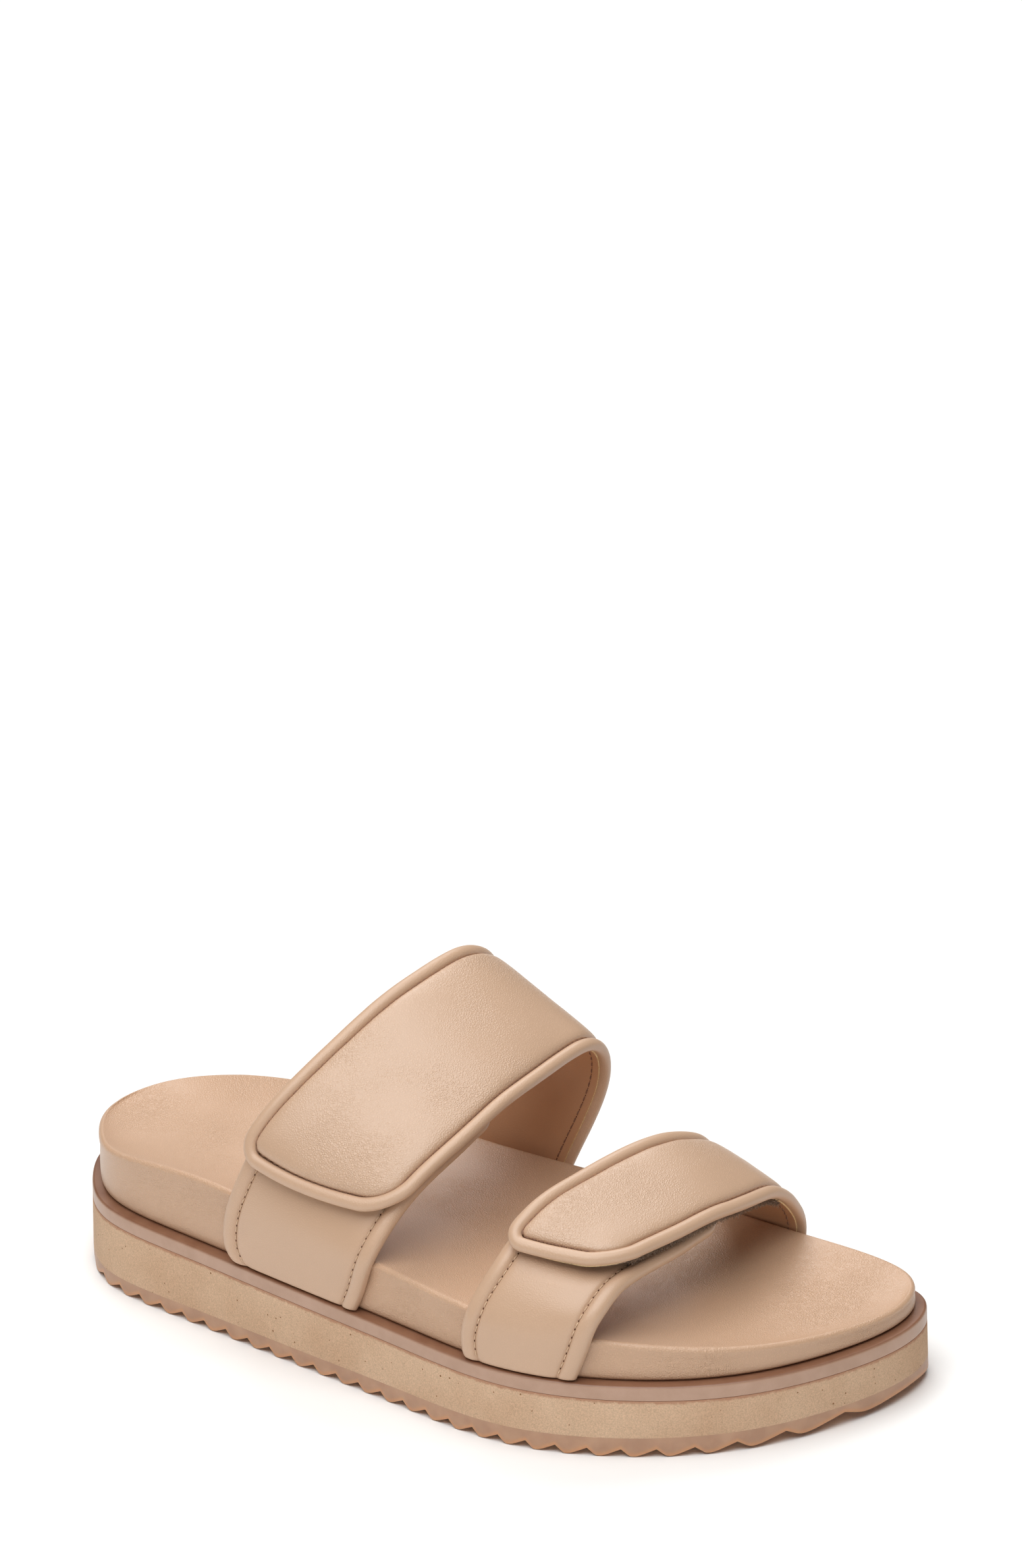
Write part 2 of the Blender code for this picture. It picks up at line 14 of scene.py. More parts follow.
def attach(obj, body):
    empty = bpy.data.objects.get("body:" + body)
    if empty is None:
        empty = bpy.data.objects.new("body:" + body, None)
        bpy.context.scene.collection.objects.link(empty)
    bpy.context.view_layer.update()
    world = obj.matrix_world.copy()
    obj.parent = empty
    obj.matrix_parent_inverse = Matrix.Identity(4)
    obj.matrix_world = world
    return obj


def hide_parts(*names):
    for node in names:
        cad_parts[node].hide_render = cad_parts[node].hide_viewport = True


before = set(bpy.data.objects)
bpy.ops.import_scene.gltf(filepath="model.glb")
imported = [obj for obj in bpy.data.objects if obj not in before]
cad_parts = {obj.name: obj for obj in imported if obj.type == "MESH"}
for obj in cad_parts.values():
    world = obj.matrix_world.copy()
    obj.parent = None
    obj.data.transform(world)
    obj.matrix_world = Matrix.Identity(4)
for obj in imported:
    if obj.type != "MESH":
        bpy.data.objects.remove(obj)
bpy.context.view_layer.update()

# Camera, light and floor
# The camera stands about 2.9 m off, looks down some 23 degrees and is turned a little on its axis.
# A wide soft box hangs over the shoe, one behind it washes the paper, a standing one puts a sheen on
# the top faces and a low one fills the near side.


def linear(colour):
    """Linear colour of an sRGB hex value."""
    parts = [int(colour[i : i + 2], 16) / 255 for i in (1, 3, 5)]
    return (*[c / 12.92 if c <= 0.04045 else ((c + 0.055) / 1.055) ** 2.4 for c in parts], 1.0)


def link(look, node, sources):
    """Feeds a node's sockets, each from an output or from the first one that another node has in use."""
    for key, source in sources.items():
        if isinstance(source, bpy.types.Node):
            source = next(output for output in source.outputs if output.enabled)
        look.node_tree.links.new(source, node.inputs[key])


def add(look, kind, settings, sources=None):
    """Adds a node to a material: settings name its properties or sockets, sources feed its sockets."""
    node = look.node_tree.nodes.new("ShaderNode" + kind)
    for key, value in settings.items():
        if key == "ramp":
            for stop, (at, colour) in zip(node.color_ramp.elements, value):
                stop.position, stop.color = at, linear(colour)
        elif isinstance(key, str) and hasattr(node, key):
            setattr(node, key, value)
        else:
            node.inputs[key].default_value = value
    link(look, node, sources or {})
    return node


def new_look(name, settings):
    """A new material and its shader, with the numbers that hold all over the piece set on the shader."""
    look = bpy.data.materials.new(name)
    look.use_nodes = True
    shader = look.node_tree.nodes["Principled BSDF"]
    for key, value in settings.items():
        shader.inputs[key].default_value = value
    return look, shader


bpy.ops.object.select_all(action="DESELECT")
bpy.ops.object.camera_add()
camera = bpy.context.object
camera.name = "camera"
axes = Matrix(
    (
        (0.833069, 0.552042, -0.035344),
        (-0.185668, 0.339225, 0.922202),
        (0.521081, -0.76169, 0.38509),
    )
)
camera.matrix_world = Matrix.Translation((1.479925, -2.128935, 1.254874)) @ axes.transposed().to_4x4()
camera.data.sensor_width = 36.0
camera.data.lens = 224.844
camera.data.clip_end = 30.0
bpy.context.scene.camera = camera

for name, place, aim, size, watts in (
    ("soft_box_top", (0.1, -0.58, 1.75), (0.0, 0.0, 0.0), 2.0, 40.5),
    ("soft_box_back", (-1.0, 1.5, 2.3), (-0.7, 1.2, 0.0), 1.8, 38.0),
    ("soft_box_standing", (-1.1, 1.6, 0.85), (0.0, 0.0, 0.05), 1.3, 2.0),
    ("soft_box_low", (1.1, -1.6, 0.42), (0.0, 0.0, 0.03), 1.0, 3.0),
):
    bpy.ops.object.light_add(type="AREA", location=place)
    lamp = bpy.context.object
    lamp.name = name
    lamp.data.size = size
    lamp.data.energy = watts
    lamp.rotation_euler = (Vector(aim) - Vector(place)).to_track_quat("-Z", "Y").to_euler()

room = bpy.data.worlds.new("pale_room")
room.use_nodes = True
room.node_tree.nodes["Background"].inputs["Color"].default_value = (1.0, 1.0, 1.0, 1.0)
room.node_tree.nodes["Background"].inputs["Strength"].default_value = 0.05
bpy.context.scene.world = room
bpy.context.scene.view_settings.view_transform = "Standard"

bpy.ops.mesh.primitive_plane_add(size=14.0, location=(0.0, 0.0, -0.0001))
floor = bpy.context.object
floor.name = "floor"
matt = {"Base Color": linear("#FCFCFB"), "Roughness": 0.9, "IOR": 1.45, "Specular IOR Level": 0.1}
floor.data.materials.append(new_look("matt_white_paper", matt)[0])

# Outsole
# A sheet of crepe rubber moulded with a sawtooth tread across it and cut to the sole's outline.
# Its underside lifts at the toe, and two smooth fields under heel and ball carry the shoe.
OUTLINE = [
    (-135.98, 8.99),
    (-126.18, -11.68),
    (-109.86, -26.64),
    (-75.59, -35.35),
    (-32.34, -43.51),
    (11.99, -51.67),
    (51.16, -56.56),
    (86.52, -46.50),
    (113.99, -25.28),
    (131.13, 4.64),
    (136.02, 32.11),
    (125.69, 49.79),
    (87.61, 48.70),
    (38.65, 46.25),
    (-24.18, 40.00),
    (-75.59, 41.90),
    (-112.31, 40.27),
    (-130.81, 29.66),
]
HEEL_X, SOLE_LENGTH = -0.13598, 0.272
RUBBER_HEEL, RUBBER_RISE = 0.0045, 0.0017
TOOTH_PITCH, TOOTH_DEPTH, TOOTH_LAND, TOOTH_LIFT = 0.00901, 0.0024, 0.0014, 0.00015
TOOTH_ROUND = 0.00062
FIRST_VALLEY = HEEL_X + 0.00468
TOE_SPRING, SPRING_START = 0.0022, HEEL_X + 0.82 * SOLE_LENGTH
# The two smooth fields: where they start and end from the heel, their distance from the sole's
# sides, the power that squares their ends, their upper face inside the rubber and their lower edge
FIELDS = ((0.01904, 0.07888), (0.14144, 0.22032))
FIELD_SIDE, FIELD_POWER, FIELD_TOP, FIELD_ROUND = 0.013, 0.6, 0.0036, 0.0004
PULL = 0.05


def spline(points, closed=False):
    """Dense points of the cubic spline through these points."""
    p = np.array(points, float)
    if closed:
        p = np.vstack([p, p[:1]])
    knots = np.concatenate([[0.0], np.cumsum(np.linalg.norm(np.diff(p, axis=0), axis=1) ** 0.5)])
    step = np.diff(knots)
    slope = np.diff(p, axis=0) / step[:, None]
    count = len(p)
    left, right = np.eye(count), np.zeros_like(p)
    for i in range(1, count - 1):
        left[i, i - 1 : i + 2] = step[i - 1], 2 * (step[i - 1] + step[i]), step[i]
        right[i] = 6 * (slope[i] - slope[i - 1])
    if closed:
        left[0, 0], left[0, 1], left[0, count - 2] = 2 * (step[0] + step[-1]), step[0], step[-1]
        right[0] = 6 * (slope[0] - slope[-1])
        left[count - 1, 0] = -1.0
    bend = np.linalg.solve(left, right)
    t = np.linspace(0.0, knots[-1], 2400)
    i = np.clip(np.searchsorted(knots, t) - 1, 0, count - 2)
    d, h = (t - knots[i])[:, None], step[i][:, None]
    first = slope[i] - h * (2 * bend[i] + bend[i + 1]) / 6
    return p[i] + d * first + d**2 * bend[i] / 2 + d**3 * (bend[i + 1] - bend[i]) / (6 * h)


rim = spline(np.array(OUTLINE) / 1000, closed=True)[:-1]
rim = np.roll(rim, -int(rim[:, 0].argmin()), axis=0)
toe = int(rim[:, 0].argmax())
little_side, big_side = rim[: toe + 1], np.vstack([rim[:1], rim[toe:][::-1]])


def outline(inset, stations=110):
    """Loop round the sole, heel tip first, drawn in from the sole's edge."""
    start, end = little_side[0, 0], little_side[-1, 0]
    along = start + (end - start) * (1 - np.cos(np.linspace(0, math.pi, stations + 1))) / 2
    little = np.interp(along, little_side[:, 0], little_side[:, 1])
    big = np.interp(along, big_side[:, 0], big_side[:, 1])
    loop = np.vstack([np.column_stack([along, little]), np.column_stack([along, big])[1:-1][::-1]])
    run = np.roll(loop, -1, axis=0) - np.roll(loop, 1, axis=0)
    run /= np.linalg.norm(run, axis=1)[:, None]
    return loop + inset * np.column_stack([-run[:, 1], run[:, 0]])


def tread(x):
    """Height of the tread's underside: a steep wall, a narrow land, then a slow rise."""
    inside = (x - FIRST_VALLEY) % TOOTH_PITCH
    rise = TOOTH_PITCH - TOOTH_DEPTH - TOOTH_LAND
    height = max(TOOTH_DEPTH - inside, TOOTH_DEPTH * (inside - TOOTH_DEPTH - TOOTH_LAND) / rise, 0.0)
    if x < FIRST_VALLEY:
        height = TOOTH_DEPTH
    spring = max(0.0, (x - SPRING_START) / (HEEL_X + SOLE_LENGTH - SPRING_START))
    return max(height, TOOTH_LIFT) + TOE_SPRING * spring**2


def outsole_top(x):
    return RUBBER_HEEL + RUBBER_RISE * (x - HEEL_X) / SOLE_LENGTH


def select_by(piece, kind, test):
    """In edit mode, selects the edges or faces that pass the test."""
    form = bmesh.from_edit_mesh(piece.data)
    for element in (*form.verts, *form.edges, *form.faces):
        element.select = False
    for element in getattr(form, kind):
        if test(element):
            element.select_set(True)
    bmesh.update_edit_mesh(piece.data)


def pick(*pieces):
    """Selects only these pieces and makes the first one active."""
    bpy.ops.object.select_all(action="DESELECT")
    for piece in pieces:
        piece.select_set(True)
    bpy.context.view_layer.objects.active = pieces[0]


def pull_up(piece, bottom, top):
    """Pulls a flat mesh up into a layer between two heights that change along the sole."""
    bpy.ops.object.mode_set(mode="EDIT")
    bpy.ops.mesh.select_all(action="SELECT")
    bpy.ops.mesh.extrude_region_move(TRANSFORM_OT_translate={"value": (0.0, 0.0, PULL)})
    bpy.ops.object.mode_set(mode="OBJECT")
    for vertex in piece.data.vertices:
        if vertex.co.z > bottom(vertex.co.x) + PULL / 2:
            vertex.co.z = top(vertex.co.x)
    bpy.ops.object.mode_set(mode="EDIT")
    bpy.ops.mesh.select_all(action="SELECT")
    bpy.ops.mesh.normals_make_consistent(inside=False)
    bpy.ops.object.mode_set(mode="OBJECT")


def cut_sheet(name, rim, bottom, top):
    """A sheet cut to a rim: the rim is drawn, filled and pulled up to its top."""
    bpy.ops.object.select_all(action="DESELECT")
    bpy.ops.mesh.primitive_circle_add(vertices=len(rim), radius=0.1, fill_type="NGON")
    piece = bpy.context.object
    piece.name = piece.data.name = name
    for vertex, (x, y) in zip(piece.data.vertices, rim):
        vertex.co = (x, y, bottom(x))
    pull_up(piece, bottom, top)
    return piece


def bevel_edges(piece, test, width, segments):
    """Rounds the edges of a piece that pass the test."""
    bpy.ops.object.mode_set(mode="EDIT")
    select_by(piece, "edges", test)
    bpy.ops.mesh.bevel(offset=width, segments=segments, affect="EDGES")
    bpy.ops.object.mode_set(mode="OBJECT")


def combine(piece, tool, operation):
    """Joins a tool to a piece or keeps only what both share, then removes the tool."""
    pick(piece)
    cut = piece.modifiers.new("cut", "BOOLEAN")
    cut.operation, cut.solver, cut.object = operation, "EXACT", tool
    bpy.ops.object.modifier_apply(modifier=cut.name)
    bpy.data.objects.remove(tool, do_unlink=True)


valleys = np.arange(FIRST_VALLEY, HEEL_X + SOLE_LENGTH + 0.02, TOOTH_PITCH)
corners = [valleys, valleys + TOOTH_DEPTH, valleys + TOOTH_DEPTH + TOOTH_LAND]
lands = np.concatenate(corners[1:])
toe_fill = [valleys + TOOTH_PITCH * share for share in (0.6, 0.8)]
stations = np.unique(np.concatenate([[HEEL_X - 0.01], *corners, *toe_fill]))
bpy.ops.object.select_all(action="DESELECT")
bpy.ops.mesh.primitive_grid_add(x_subdivisions=len(stations) - 1, y_subdivisions=1, size=0.1)
outsole = bpy.context.object
outsole.name = outsole.data.name = "outsole_rubber"
for i, vertex in enumerate(outsole.data.vertices):
    x = stations[i % len(stations)]
    vertex.co = (x, -0.09 if i < len(stations) else 0.09, tread(x))
pull_up(outsole, tread, outsole_top)


def on_a_land(edge):
    ends = [v.co for v in edge.verts]
    if abs(ends[0].y - ends[1].y) < 0.1 or ends[0].z > outsole_top(ends[0].x) - 0.0005:
        return False
    return abs(lands - ends[0].x).min() < 1e-5


bevel_edges(outsole, on_a_land, TOOTH_ROUND, 3)
combine(outsole, cut_sheet("cutter", outline(0.0), lambda x: -0.01, lambda x: 0.02), "INTERSECT")
for start, end in FIELDS:
    first, last = HEEL_X + start, HEEL_X + end
    turn = math.pi + np.linspace(0, 2 * math.pi, 65)[:-1]
    x = (first + last) / 2 + (last - first) / 2 * np.cos(turn)
    little = np.interp(x, little_side[:, 0], little_side[:, 1]) + FIELD_SIDE
    big = np.interp(x, big_side[:, 0], big_side[:, 1]) - FIELD_SIDE
    swing = np.sign(np.sin(turn)) * abs(np.sin(turn)) ** FIELD_POWER
    field = np.column_stack([x, (little + big) / 2 + (big - little) / 2 * swing])
    pad = cut_sheet("pad", field, lambda x: 0.0, lambda x: FIELD_TOP)
    bevel_edges(pad, lambda e: max(v.co.z for v in e.verts) < 0.001, FIELD_ROUND, 2)
    combine(outsole, pad, "UNION")
bpy.ops.object.shade_smooth_by_angle(angle=math.radians(24))

# Natural crepe rubber, moulded: a dull waxy gloss, and the thin lower edges are painted a little orange,
# a painted glow of light shining through them
waxy = {"Roughness": 0.46, "IOR": 1.52, "Subsurface Weight": 0.25, "Subsurface Scale": 0.0016}
rubber, shader = new_look("moulded_crepe_rubber", waxy | {"Subsurface Radius": (1.0, 0.45, 0.25)})
place = add(rubber, "TexCoord", {}).outputs["Object"]
split = add(rubber, "SeparateXYZ", {}, {0: place})
before = {"operation": "SUBTRACT", 1: FIRST_VALLEY - 10 * TOOTH_PITCH}
from_valley = add(rubber, "Math", before, {0: split.outputs["X"]})
inside = add(rubber, "Math", {"operation": "MODULO", 1: TOOTH_PITCH}, {0: from_valley})
wall = add(rubber, "Math", {"operation": "SUBTRACT", 0: TOOTH_DEPTH}, {1: inside})
slow = TOOTH_DEPTH / (TOOTH_PITCH - TOOTH_DEPTH - TOOTH_LAND)
slope = {"operation": "MULTIPLY_ADD", 1: slow, 2: -slow * (TOOTH_DEPTH + TOOTH_LAND)}
rise = add(rubber, "Math", slope, {0: inside})
under = add(rubber, "Math", {"operation": "MAXIMUM"}, {0: wall, 1: rise})
under = add(rubber, "Math", {"operation": "MAXIMUM", 1: TOOTH_LIFT}, {0: under})
to_toe = {"From Min": SPRING_START, "From Max": HEEL_X + SOLE_LENGTH, "To Max": 1.0}
spring = add(rubber, "MapRange", to_toe, {"Value": split.outputs["X"]})
lift = add(rubber, "Math", {"operation": "POWER", 1: 2.0}, {0: spring})
under = add(rubber, "Math", {"operation": "MULTIPLY_ADD", 1: TOE_SPRING}, {0: lift, 2: under})
above = add(rubber, "Math", {"operation": "SUBTRACT"}, {0: split.outputs["Z"], 1: under})
cloud = add(rubber, "TexNoise", {"Scale": 160.0, "Detail": 3.0}, {"Vector": place})
above = add(rubber, "Math", {"operation": "MULTIPLY_ADD", 1: -0.0004}, {0: cloud, 2: above})
# Painted glow: up to about 1.6 mm above the tread's underside the rubber is tinted orange, standing for
# light shining through the thin edges
thin = {"interpolation_type": "SMOOTHSTEP", "From Min": -0.0004, "From Max": 0.0016}
edge = add(rubber, "MapRange", thin, {"Value": above})
side = add(rubber, "ValToRGB", {"ramp": [(0.35, "#B28A6F"), (0.7, "#C0987B")]}, {0: cloud})
painted_glow_tint = add(rubber, "Mix", {"data_type": "RGBA", 6: linear("#CD966B")}, {0: edge, 7: side})
skin = add(rubber, "TexNoise", {"Scale": 1500.0, "Detail": 4.0, "Roughness": 0.6}, {"Vector": place})
bump = add(rubber, "Bump", {"Strength": 0.35, "Distance": 0.00005}, {"Height": skin})
link(rubber, shader, {"Base Color": painted_glow_tint, "Normal": bump})
outsole.data.materials.clear()
outsole.data.materials.append(rubber)
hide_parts("outsole")
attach(outsole, "root")

# Midsole
# A wedge of blown foam, thicker at the heel, split from a block and buffed to the sole's edge, so
# its side shows fine cells, a few open pores and a ragged line of cement under the welt.
FOAM_HEEL, FOAM_FALL, FOAM_ROUND = 0.0221, 0.0053, 0.0003
HEEL_LEAN, LEAN_FADE = 0.0017, 0.016


def foam_top(x):
    return FOAM_HEEL - FOAM_FALL * (x - HEEL_X) / SOLE_LENGTH


def bevel_rims(piece, test, width, segments):
    """Rounds the edges of a sheet that pass the test and keeps its faces flat."""
    bevel_edges(piece, test, width, segments)
    bpy.ops.object.shade_smooth_by_angle(angle=math.radians(40))


def lean_in(piece, low, high, middle):
    """Moves the heel end of a sheet in by shares of the lean, one below and one above a height."""
    for vertex in piece.data.vertices:
        share = high if vertex.co.z > middle(vertex.co.x) else low
        vertex.co.x += share * HEEL_LEAN * math.exp((HEEL_X - vertex.co.x) / LEAN_FADE)


def above_the_rubber(x):
    return outsole_top(x) + 0.00001


def under_the_welt(x):
    return foam_top(x) - 0.00002


midsole = cut_sheet("midsole_foam", outline(0.0), above_the_rubber, under_the_welt)
lean_in(midsole, 0.0, 0.8, lambda x: 0.012)
bevel_rims(midsole, lambda e: min(v.co.z for v in e.verts) > 0.012, FOAM_ROUND, 2)


def depth_below(look, place, top):
    """How deep a place lies under a layer's sloping top face."""
    split = add(look, "SeparateXYZ", {}, {0: place})
    slope = {"operation": "MULTIPLY_ADD", 1: -FOAM_FALL / SOLE_LENGTH, 2: top(0.0)}
    plane = add(look, "Math", slope, {0: split.outputs["X"]})
    return add(look, "Math", {"operation": "SUBTRACT"}, {0: plane, 1: split.outputs["Z"]})



# Blown foam, split and buffed: matt, with a fine open grain that scatters the light
foam, shader = new_look("buffed_blown_foam", {"Roughness": 0.88, "IOR": 1.45, "Specular IOR Level": 0.25})
place = add(foam, "TexCoord", {}).outputs["Object"]
cloud = add(foam, "TexNoise", {"Scale": 34.0, "Detail": 3.0, "Roughness": 0.6}, {"Vector": place})
tone = add(foam, "ValToRGB", {"ramp": [(0.3, "#CAA788"), (0.72, "#D9BA9C")]}, {0: cloud})
cells = add(foam, "TexNoise", {"Scale": 2300.0, "Detail": 2.0, "Roughness": 0.7}, {"Vector": place})
contrast = {"From Min": 0.3, "From Max": 0.7, "To Min": 0.8, "To Max": 1.12}
speck = add(foam, "MapRange", contrast, {"Value": cells})
tone = add(foam, "VectorMath", {"operation": "SCALE"}, {0: tone, "Scale": speck})
pores = add(foam, "TexVoronoi", {"feature": "F1", "Scale": 560.0}, {"Vector": place})
chance = add(foam, "SeparateColor", {}, {0: pores.outputs["Color"]})
crowd = add(foam, "TexNoise", {"Scale": 90.0, "Detail": 2.0}, {"Vector": place})
chance = add(foam, "Math", {"operation": "MULTIPLY_ADD", 1: 0.55}, {0: crowd, 2: chance})
rare = add(foam, "MapRange", {"From Min": 0.9, "From Max": 1.32, "To Max": 0.19}, {"Value": chance})
# Painted shade: the open pores are painted dark brown for the shade inside them; they are also dented in
# the relief
shaded_pore = add(foam, "Math", {"operation": "LESS_THAN"}, {0: pores, 1: rare})
tone = add(foam, "Mix", {"data_type": "RGBA", 7: linear("#86603F")}, {0: shaded_pore, 6: tone})
rag = add(foam, "TexNoise", {"Scale": 520.0, "Detail": 4.0, "Roughness": 0.7}, {"Vector": place})
ragged = {0: rag, 2: depth_below(foam, place, foam_top)}
below = add(foam, "Math", {"operation": "MULTIPLY_ADD", 1: -0.0021}, ragged)
seam = {"From Min": -0.0006, "From Max": 0.0001, "To Min": 0.75, "To Max": 0.0}
cement = add(foam, "MapRange", seam, {"Value": below})
tone = add(foam, "Mix", {"data_type": "RGBA", 7: linear("#AD7B60")}, {0: cement, 6: tone})
open_cells = add(foam, "Math", {"operation": "MULTIPLY_ADD", 1: -1.5}, {0: shaded_pore, 2: cells})
bump = add(foam, "Bump", {"Strength": 0.55, "Distance": 0.0001}, {"Height": open_cells})
swell = add(foam, "TexNoise", {"Scale": 70.0, "Detail": 2.0}, {"Vector": place})
bump = add(foam, "Bump", {"Strength": 0.3, "Distance": 0.0006}, {"Height": swell, "Normal": bump})
link(foam, shader, {"Base Color": tone, "Normal": bump})
midsole.data.materials.append(foam)
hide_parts("midsole")
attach(midsole, "root")

# Welt
# A flat strip board stuck between foam and footbed, its edge trimmed, bevelled and painted. Its
# upper ledge runs round the shoe as a narrow shelf that the footbed and the straps stand on.
WELT_THICK, WELT_BEVEL, WELT_ROUND = 0.0044, 0.0009, 0.0002


def welt_top(x):
    return foam_top(x) + WELT_THICK


welt = cut_sheet("welt_board", outline(0.0), foam_top, welt_top)
lean_in(welt, 0.8, 1.0, lambda x: foam_top(x) + 0.002)
bevel_rims(welt, lambda e: min(v.co.z - foam_top(v.co.x) for v in e.verts) > 0.004, WELT_BEVEL, 4)
bevel_rims(welt, lambda e: max(v.co.z - foam_top(v.co.x) for v in e.verts) < 0.0001, WELT_ROUND, 2)

# Leather board with edge paint: a smooth satin film. The ledge is darker and warmer, partly its bare board
# and partly painted shade where the footbed and the strap panels stand on it
board, shader = new_look("edge_painted_board", {"Roughness": 0.36, "IOR": 1.5})
place = add(board, "TexCoord", {}).outputs["Object"]
shelf = {"From Min": 0.00015, "From Max": 0.0006, "To Min": 1.0, "To Max": 0.0}
ledge = add(board, "MapRange", shelf, {"Value": depth_below(board, place, welt_top)})
streak = add(board, "TexNoise", {"Scale": 120.0, "Detail": 4.0, "Roughness": 0.6}, {"Vector": place})
paint = add(board, "ValToRGB", {"ramp": [(0.3, "#B28F78"), (0.7, "#BD9A84")]}, {0: streak})
# Painted shade: the ledge's dark brown also stands for the contact shade under the footbed and the strap
# panels
bare_board_and_shade = add(board, "ValToRGB", {"ramp": [(0.3, "#80563F"), (0.7, "#926950")]}, {0: streak})
tone = add(board, "Mix", {"data_type": "RGBA"}, {0: ledge, 6: paint, 7: bare_board_and_shade})
skin = add(board, "TexNoise", {"Scale": 900.0, "Detail": 3.0}, {"Vector": place})
bump = add(board, "Bump", {"Strength": 0.25, "Distance": 0.00004}, {"Height": skin})
wave = add(board, "TexNoise", {"Scale": 110.0, "Detail": 1.0}, {"Vector": place})
bump = add(board, "Bump", {"Strength": 0.2, "Distance": 0.0004}, {"Height": wave, "Normal": bump})
link(board, shader, {"Base Color": tone, "Normal": bump})
welt.data.materials.append(board)
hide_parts("welt")
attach(welt, "root")

# Footbed
# A moulded cushion wrapped in the strap material, tucked under at the welt, with a rounded rim
# and a dish for the foot. The wrap creases where it is pulled round the little toe side.
# Rows along the sole in millimetres: place, height of the little toe side's rim, depth of the dish,
# and how much higher the big toe side's rim stands
FOOTBED = [
    (-135.98, 39.44, 3.26, 0.0),
    (-103.34, 43.52, 5.71, 1.14),
    (-67.98, 46.24, 5.71, 1.22),
    (0.02, 41.07, 3.54, 0.68),
    (68.02, 35.90, 3.81, 0.0),
    (108.82, 31.01, 3.26, 0.0),
    (136.02, 26.66, 2.45, 0.0),
]
FOOTBED_INSET, FOOTBED_FLARE, FOOTBED_ROUND, FOOTBED_TUCK = 0.0037, 0.0004, 0.0014, 0.0006
FOOT_EDGE, FOOT_STATIONS = FOOTBED_INSET - FOOTBED_FLARE, 150
# The wrap's side from the welt up: share of its height and how far it is drawn in
FOOTBED_SIDE = ((0.0, 0.0005), (0.05, 0.0001), (0.14, 0.0), (0.35, 0.0), (0.6, 0.0002), (0.8, 0.0003))
DISH_POWER, DISH_NARROW = 2.4, 0.055
footbed_rows = np.array(FOOTBED) / 1000
rim_line = spline(footbed_rows[:, :2])


def rim_height(loop):
    """Height of the rim along a loop; its second half, on the big toe side, is higher."""
    rise = np.interp(loop[:, 0], footbed_rows[:, 0], footbed_rows[:, 3])
    big = np.arange(len(loop)) > len(loop) // 2
    return np.interp(loop[:, 0], rim_line[:, 0], rim_line[:, 1]) + np.where(big, rise, 0.0)


def lay_grid(name, points, marked=None):
    """A grid of faces laid through rows of points; marked faces take a second material."""
    rows, columns = points.shape[:2]
    bpy.ops.object.select_all(action="DESELECT")
    bpy.ops.mesh.primitive_grid_add(x_subdivisions=columns - 1, y_subdivisions=rows - 1, size=0.1)
    piece = bpy.context.object
    piece.name = piece.data.name = name
    piece.data.vertices.foreach_set("co", points.reshape(-1))
    if marked is not None:
        piece.data.materials.append(None)
        piece.data.materials.append(None)
        piece.data.polygons.foreach_set("material_index", marked.astype(np.int32).reshape(-1))
    piece.data.update()
    return piece


def close_up(piece, angle=180):
    """Merges doubled points, fills open ends, turns the faces outwards and smooths them."""
    pick(piece)
    bpy.ops.object.mode_set(mode="EDIT")
    bpy.ops.mesh.select_mode(type="VERT")
    bpy.ops.mesh.select_all(action="SELECT")
    bpy.ops.mesh.remove_doubles(threshold=2e-6)
    bpy.ops.mesh.dissolve_degenerate(threshold=1e-7)
    bpy.ops.mesh.select_all(action="SELECT")
    bpy.ops.mesh.fill_holes(sides=0)
    bpy.ops.mesh.select_all(action="SELECT")
    bpy.ops.mesh.normals_make_consistent(inside=False)
    bpy.ops.object.mode_set(mode="OBJECT")
    if angle < 180:
        bpy.ops.object.shade_smooth_by_angle(angle=math.radians(angle))
    else:
        bpy.ops.object.shade_smooth()


def join(pieces):
    pick(*pieces)
    bpy.ops.object.join()
    return pieces[0]


foot = outline(FOOT_EDGE, FOOT_STATIONS)
foot_rim = rim_height(foot) - FOOTBED_ROUND
foot_low = welt_top(foot[:, 0]) + 0.0007
tuck = outline(FOOTBED_INSET + FOOTBED_TUCK, FOOT_STATIONS)
levels = [np.column_stack([tuck, welt_top(tuck[:, 0]) + 0.0002])]
for share, drawn_in in FOOTBED_SIDE:
    ring = outline(FOOT_EDGE + drawn_in, FOOT_STATIONS)
    levels.append(np.column_stack([ring, foot_low + share * (foot_rim - foot_low)]))
for turn in range(0, 91, 10):
    angle = math.radians(turn)
    ring = outline(FOOT_EDGE + FOOTBED_ROUND * (1 - math.cos(angle)), FOOT_STATIONS)
    levels.append(np.column_stack([ring, foot_rim + FOOTBED_ROUND * math.sin(angle)]))
levels = np.array(levels)
wrap = lay_grid("footbed_cushion", np.concatenate([levels, levels[:, :1]], axis=1))
top = levels[-1]
half = len(top) // 2
little, big = top[: half + 1], np.vstack([top[:1], top[half:][::-1]])
shares = (1 - np.cos(np.linspace(0, math.pi, 61))) / 2
shares = 0.5 * shares + 0.5 * np.linspace(0, 1, 61)
cap = little[:, None] * (1 - shares)[None, :, None] + big[:, None] * shares[None, :, None]
narrow = np.minimum(1.0, np.linalg.norm(big - little, axis=1) / DISH_NARROW)
dish = np.interp(cap[:, :, 0], footbed_rows[:, 0], footbed_rows[:, 2]) * narrow[:, None]
cap[:, :, 2] -= dish * (1 - abs(2 * shares - 1) ** DISH_POWER)[None]
footbed = join([wrap, lay_grid("footbed_top", cap)])
close_up(footbed)

# Faux leather, a coated cloth with a pressed grain: satin, its grain fine and soft. The grain is
# drawn 0.7 mm across, a little coarse, so that it shows, and it fades in and out in patches.
GRAIN_SCALE, GRAIN_DEEP, FINE_SCALE, PATCH_SCALE, DENT_SCALE = 1400.0, 0.00013, 3600.0, 30.0, 95.0


